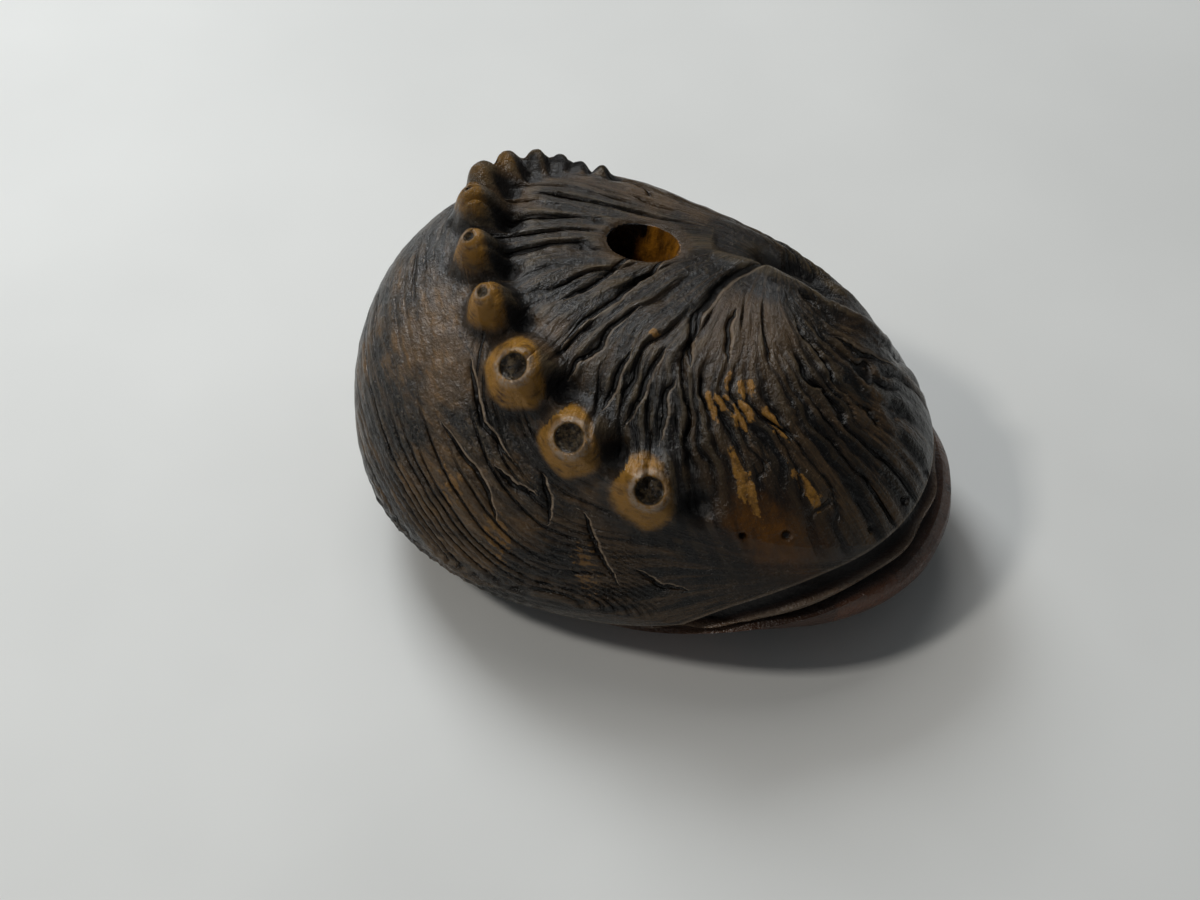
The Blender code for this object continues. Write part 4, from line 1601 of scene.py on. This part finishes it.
    def wear(self, tree: WoodTree, coat: Coat) -> None:
        """Patches where the stain is worn off the ropes and bands, with ragged edges.

        Args:
            tree: The finish's tree.
            coat: The colour so far.
        """
        ridge = tree.outside * tree.mask("band_cos") + tree.mask("inside") * tree.mask("rope_cos")
        torn = tree.mask("rub") + (tree.grain - 0.5) * 0.5 + (tree.chip - 0.5) * 1.6
        torn = torn + (tree.fine_streak - 0.5) * 0.7 - ridge * 0.22
        torn = torn.step(0.40, 0.62) * tree.mask("crest").step(-0.9, 0.1) * tree.mask("rub").step(0.02, 0.15)
        torn_wood = Coat(tree, tree.blend(tree.grain.step(0.35, 0.65), self.amber, self.rubbed))
        torn_wood.over(tree.chip.step(0.52, 0.36) * 0.6, self.ember)
        coat.over(torn * (0.5 + 0.5 * tree.mask("inside")) * 0.92, torn_wood.colour)

    def darken_cuts(self, tree: WoodTree, coat: Coat) -> Term:
        """Fills the cuts with dark stain, and with it the painted shade and shadows that the cut mask also
        carries, and paints thin highlights beside the band lines near the row.

        Args:
            tree: The finish's tree.
            coat: The colour so far.

        Returns:
            Where the thin lines and the larger cuts are, which the relief sinks.
        """
        inside, begun = tree.mask("inside"), tree.mask("begun")
        plates = inside * tree.line(Lines.FOLD, 0.90, 0.985) * begun
        ropes = inside * tree.line(Lines.ROPE, 0.86, 0.98) * (0.35 + 0.5 * tree.mask("fan")) * begun
        ledges = tree.outside * tree.line(Lines.BAND, 0.25, 0.90) * tree.mask("room")
        sine = tree.mask("band_sin")
        # Painted glints: thin pale lines beside the band lines near the row.
        band_edge_glint = sine.step(0.35, 0.5) * sine.step(0.95, 0.8) * tree.mask("band_cos").step(0.3, 0.5)
        band_edge_glint = band_edge_glint * tree.outside * tree.fine_streak.step(0.56, 0.66) * tree.mask("near_row")
        coat.over(band_edge_glint * 0.7, self.pale)
        lines = plates.most(ropes).most(ledges) * tree.mask("nub_gap").step(0.95, 1.3)
        lines = lines * (1.0 - tree.mask("red")) * (1.0 - tree.mask("shoulder") * 0.8)
        lines = lines * (1.0 - tree.mask("knob")) * (1.0 - tree.mask("mouth"))
        side = tree.mask("cut_side")
        gashes = side.math("ABSOLUTE", side, 0.0).step(1.35, 0.5) * tree.mask("cut_gap").step(3.8, 2.4)
        cuts = lines.most(gashes)
        # The cut mask carries the stain in the cuts and also the painted shade and shadows of the cleft, the
        # gap behind the knob, the groove under the rim and the nubs' notches.
        coat.over(cuts.most((tree.mask("cut") * 1.2).least(1.0)) * 0.94, self.pit)
        return cuts

    def tint_nubs(self, tree: WoodTree, coat: Coat) -> None:
        """Amber nubs, the amber only on their lit side, in moats of painted shade; their hollows with worn
        rings; painted glints beside the cuts; bruised edges all over, with a painted highlight on the cleft's
        lip.

        Args:
            tree: The finish's tree.
            coat: The colour so far.
        """
        grain, nub_gap, hollow = tree.grain, tree.mask("nub_gap"), tree.mask("hollow")
        rings = tree.noise(tree.stretch(tree.place, (1.0, 1.0, 3.0)), 700.0, 3.0, 0.6)
        nub_wood = tree.blend(rings.step(0.46, 0.80), self.amber, self.ember)
        nub_share = (tree.mask("amber") + (tree.cloud - 0.5) * 0.3 + (grain - 0.5) * 0.3).step(0.22, 0.6)
        coat.over(nub_share * nub_gap.step(1.35, 1.0), nub_wood)
        # Painted shade: a dark ring round the foot of each nub.
        coat.over(nub_gap.step(1.75, 1.3) * nub_gap.step(1.05, 1.25) * 0.65, self.pit)
        # Painted glints: a pale line beside one edge of each larger cut.
        cut_edge_glint = tree.mask("cut_side").step(0.9, 1.5) * tree.mask("cut_side").step(2.7, 1.9)
        cut_edge_glint = cut_edge_glint * tree.mask("cut_gap").step(3.8, 2.4) * (1.0 - tree.mask("inside") * 0.6)
        coat.over(cut_edge_glint * tree.fine_streak.step(0.28, 0.5) * 0.85, self.pale)
        worn_ring = hollow.step(1.75, 1.35) * hollow.step(1.0, 1.15) * grain.step(0.3, 0.6)
        on_nub = nub_gap.step(0.9, 0.6) * tree.mask("amber").step(0.35, 0.6)
        coat.over(worn_ring * on_nub * 0.9, self.pale)
        hollow_floor = tree.blend(grain.step(0.42, 0.7) * 0.8, self.pit, self.crest)
        coat.over(hollow.step(1.12, 0.95) * 0.97, hollow_floor)
        # Pale edges: bruised wear, and on the cleft's lip a painted highlight.
        coat.over(tree.mask("pale") * (0.4 + 0.5 * grain.step(0.3, 0.7)), self.pale)
        coat.over(tree.speck.step(0.63, 0.74) * 0.3, self.crest)

    def line_bore(self, tree: WoodTree, coat: Coat) -> None:
        """Honey-coloured wood on the cord hole's wall, with painted shade deep down and a painted shadow on
        its left side.

        Args:
            tree: The finish's tree.
            coat: The colour so far.
        """
        inner = tree.noise(tree.stretch(tree.place, (1.0, 1.0, 0.25)), 900.0, 4.0, 0.6)
        wall = Coat(tree, tree.blend(inner.step(0.35, 0.68), self.honey, self.ember))
        # Painted shade: the wall goes black deeper down the hole.
        wall.over(tree.mask("bore_depth").step(0.12, 0.50), self.pit)
        # Painted shadow: the left side of the wall is black, where the light does not reach.
        wall.over((tree.mask("bore_side") + (inner - 0.5) * 0.9).step(0.02, -0.22), self.pit)
        coat.over(tree.mask("bore"), wall.colour)


@dataclass(frozen=True)
class Lamp:
    """A square soft light that is turned towards the piece.

    Attributes:
        name: Name of the light.
        place: Where it hangs.
        size: Its side.
        power: Its power in watts.
        tint: Its colour.
    """

    name: str
    place: tuple[float, float, float]
    size: float
    power: float
    tint: tuple[float, float, float]

    def hang(self) -> None:
        """Adds the light to the scene."""
        data = bpy.data.lights.new(self.name, "AREA")
        data.size = self.size
        data.energy = self.power
        data.color = self.tint
        light = bpy.data.objects.new(self.name, data)
        light.location = self.place
        towards = Vector((0.0, 0.0, 0.01)) - Vector(self.place)
        light.rotation_euler = towards.to_track_quat("-Z", "Y").to_euler()
        bpy.context.scene.collection.objects.link(light)


@dataclass(frozen=True)
class Studio:
    """The floor, the soft lights and the camera.

    Attributes:
        aim: Place in the frame that the camera looks at.
        turn: Turn of the view from +Y towards -X, in degrees.
        elevation: How far the camera looks down, in degrees.
        distance: From the aim to the camera.
        lens: Focal length in millimetres.
        sensor: Width of the sensor in millimetres.
        floor_reach: Half the side of the floor.
        sky: Strength of the even light from all round.
        lamps: The soft lights.
    """

    aim: tuple[float, float, float] = (-0.00505, 0.00343, 0.0)
    turn: float = 15.0
    elevation: float = 52.0
    distance: float = 0.1905
    lens: float = 72.0
    sensor: float = 36.0
    floor_reach: float = 3.0
    sky: float = 0.13
    lamps: tuple[Lamp, ...] = (
        Lamp("window", (-0.24, 0.24, 0.28), 0.16, 1.00, (0.93, 0.97, 1.0)),
        Lamp("ceiling", (-0.14, 0.22, 0.40), 0.30, 0.50, (1.0, 0.98, 0.95)),
        Lamp("lamp", (-0.22, -0.10, 0.32), 0.05, 0.40, (1.0, 0.96, 0.90)),
    )

    def forward(self) -> Vector:
        """Direction in which the camera looks.

        Returns:
            A unit vector.
        """
        turn, down = math.radians(self.turn), math.radians(self.elevation)
        level = math.cos(down)
        return Vector((-math.sin(turn) * level, math.cos(turn) * level, -math.sin(down)))

    def set_up(self) -> None:
        """Places the camera, the floor, the lights and the sky."""
        data = bpy.data.cameras.new("camera")
        data.lens = self.lens
        data.sensor_width = self.sensor
        data.clip_start = 0.005
        camera = bpy.data.objects.new("camera", data)
        camera.rotation_euler = self.forward().to_track_quat("-Z", "Y").to_euler()
        camera.location = Vector(self.aim) - self.forward() * self.distance
        bpy.context.scene.collection.objects.link(camera)
        bpy.context.scene.camera = camera
        self.lay_floor()
        for lamp in self.lamps:
            lamp.hang()
        world = bpy.data.worlds.new("studio")
        world.use_nodes = True
        background = world.node_tree.nodes["Background"]
        background.inputs["Color"].default_value = shade(214, 220, 224)
        background.inputs["Strength"].default_value = self.sky
        bpy.context.scene.world = world

    def lay_floor(self) -> None:
        """Lays the plain pale floor."""
        reach = self.floor_reach
        corners = [(-reach, -reach, 0.0), (reach, -reach, 0.0), (reach, reach, 0.0), (-reach, reach, 0.0)]
        mesh = bpy.data.meshes.new("floor")
        mesh.from_pydata(corners, [], [(0, 1, 2, 3)])
        floor = bpy.data.objects.new("floor", mesh)
        bpy.context.scene.collection.objects.link(floor)
        tree = Tree("pale_floor")
        place = tree.node("ShaderNodeTexCoord", {}, {}, "Object")
        cloud = tree.noise(place, 30.0, 3.0)
        colour = tree.blend(cloud.step(0.3, 0.7), shade(219, 220, 218), shade(226, 227, 225))
        mesh.materials.append(tree.finish(colour, 0.55, {}))


def main() -> None:
    """Builds the piece and the studio."""
    logging.basicConfig(level=logging.INFO, format="%(name)s: %(message)s")
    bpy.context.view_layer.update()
    piece = Dresser(Carving()).build()
    StainedWood().dress(piece)
    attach(piece, "root")
    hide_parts("netsuke")
    LOG.info("abalone_carving: %d points, %d faces", len(piece.data.vertices), len(piece.data.polygons))
    Studio().set_up()
    bpy.context.scene.view_settings.view_transform = "Standard"
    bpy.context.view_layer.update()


if __name__ == "__main__":
    main()
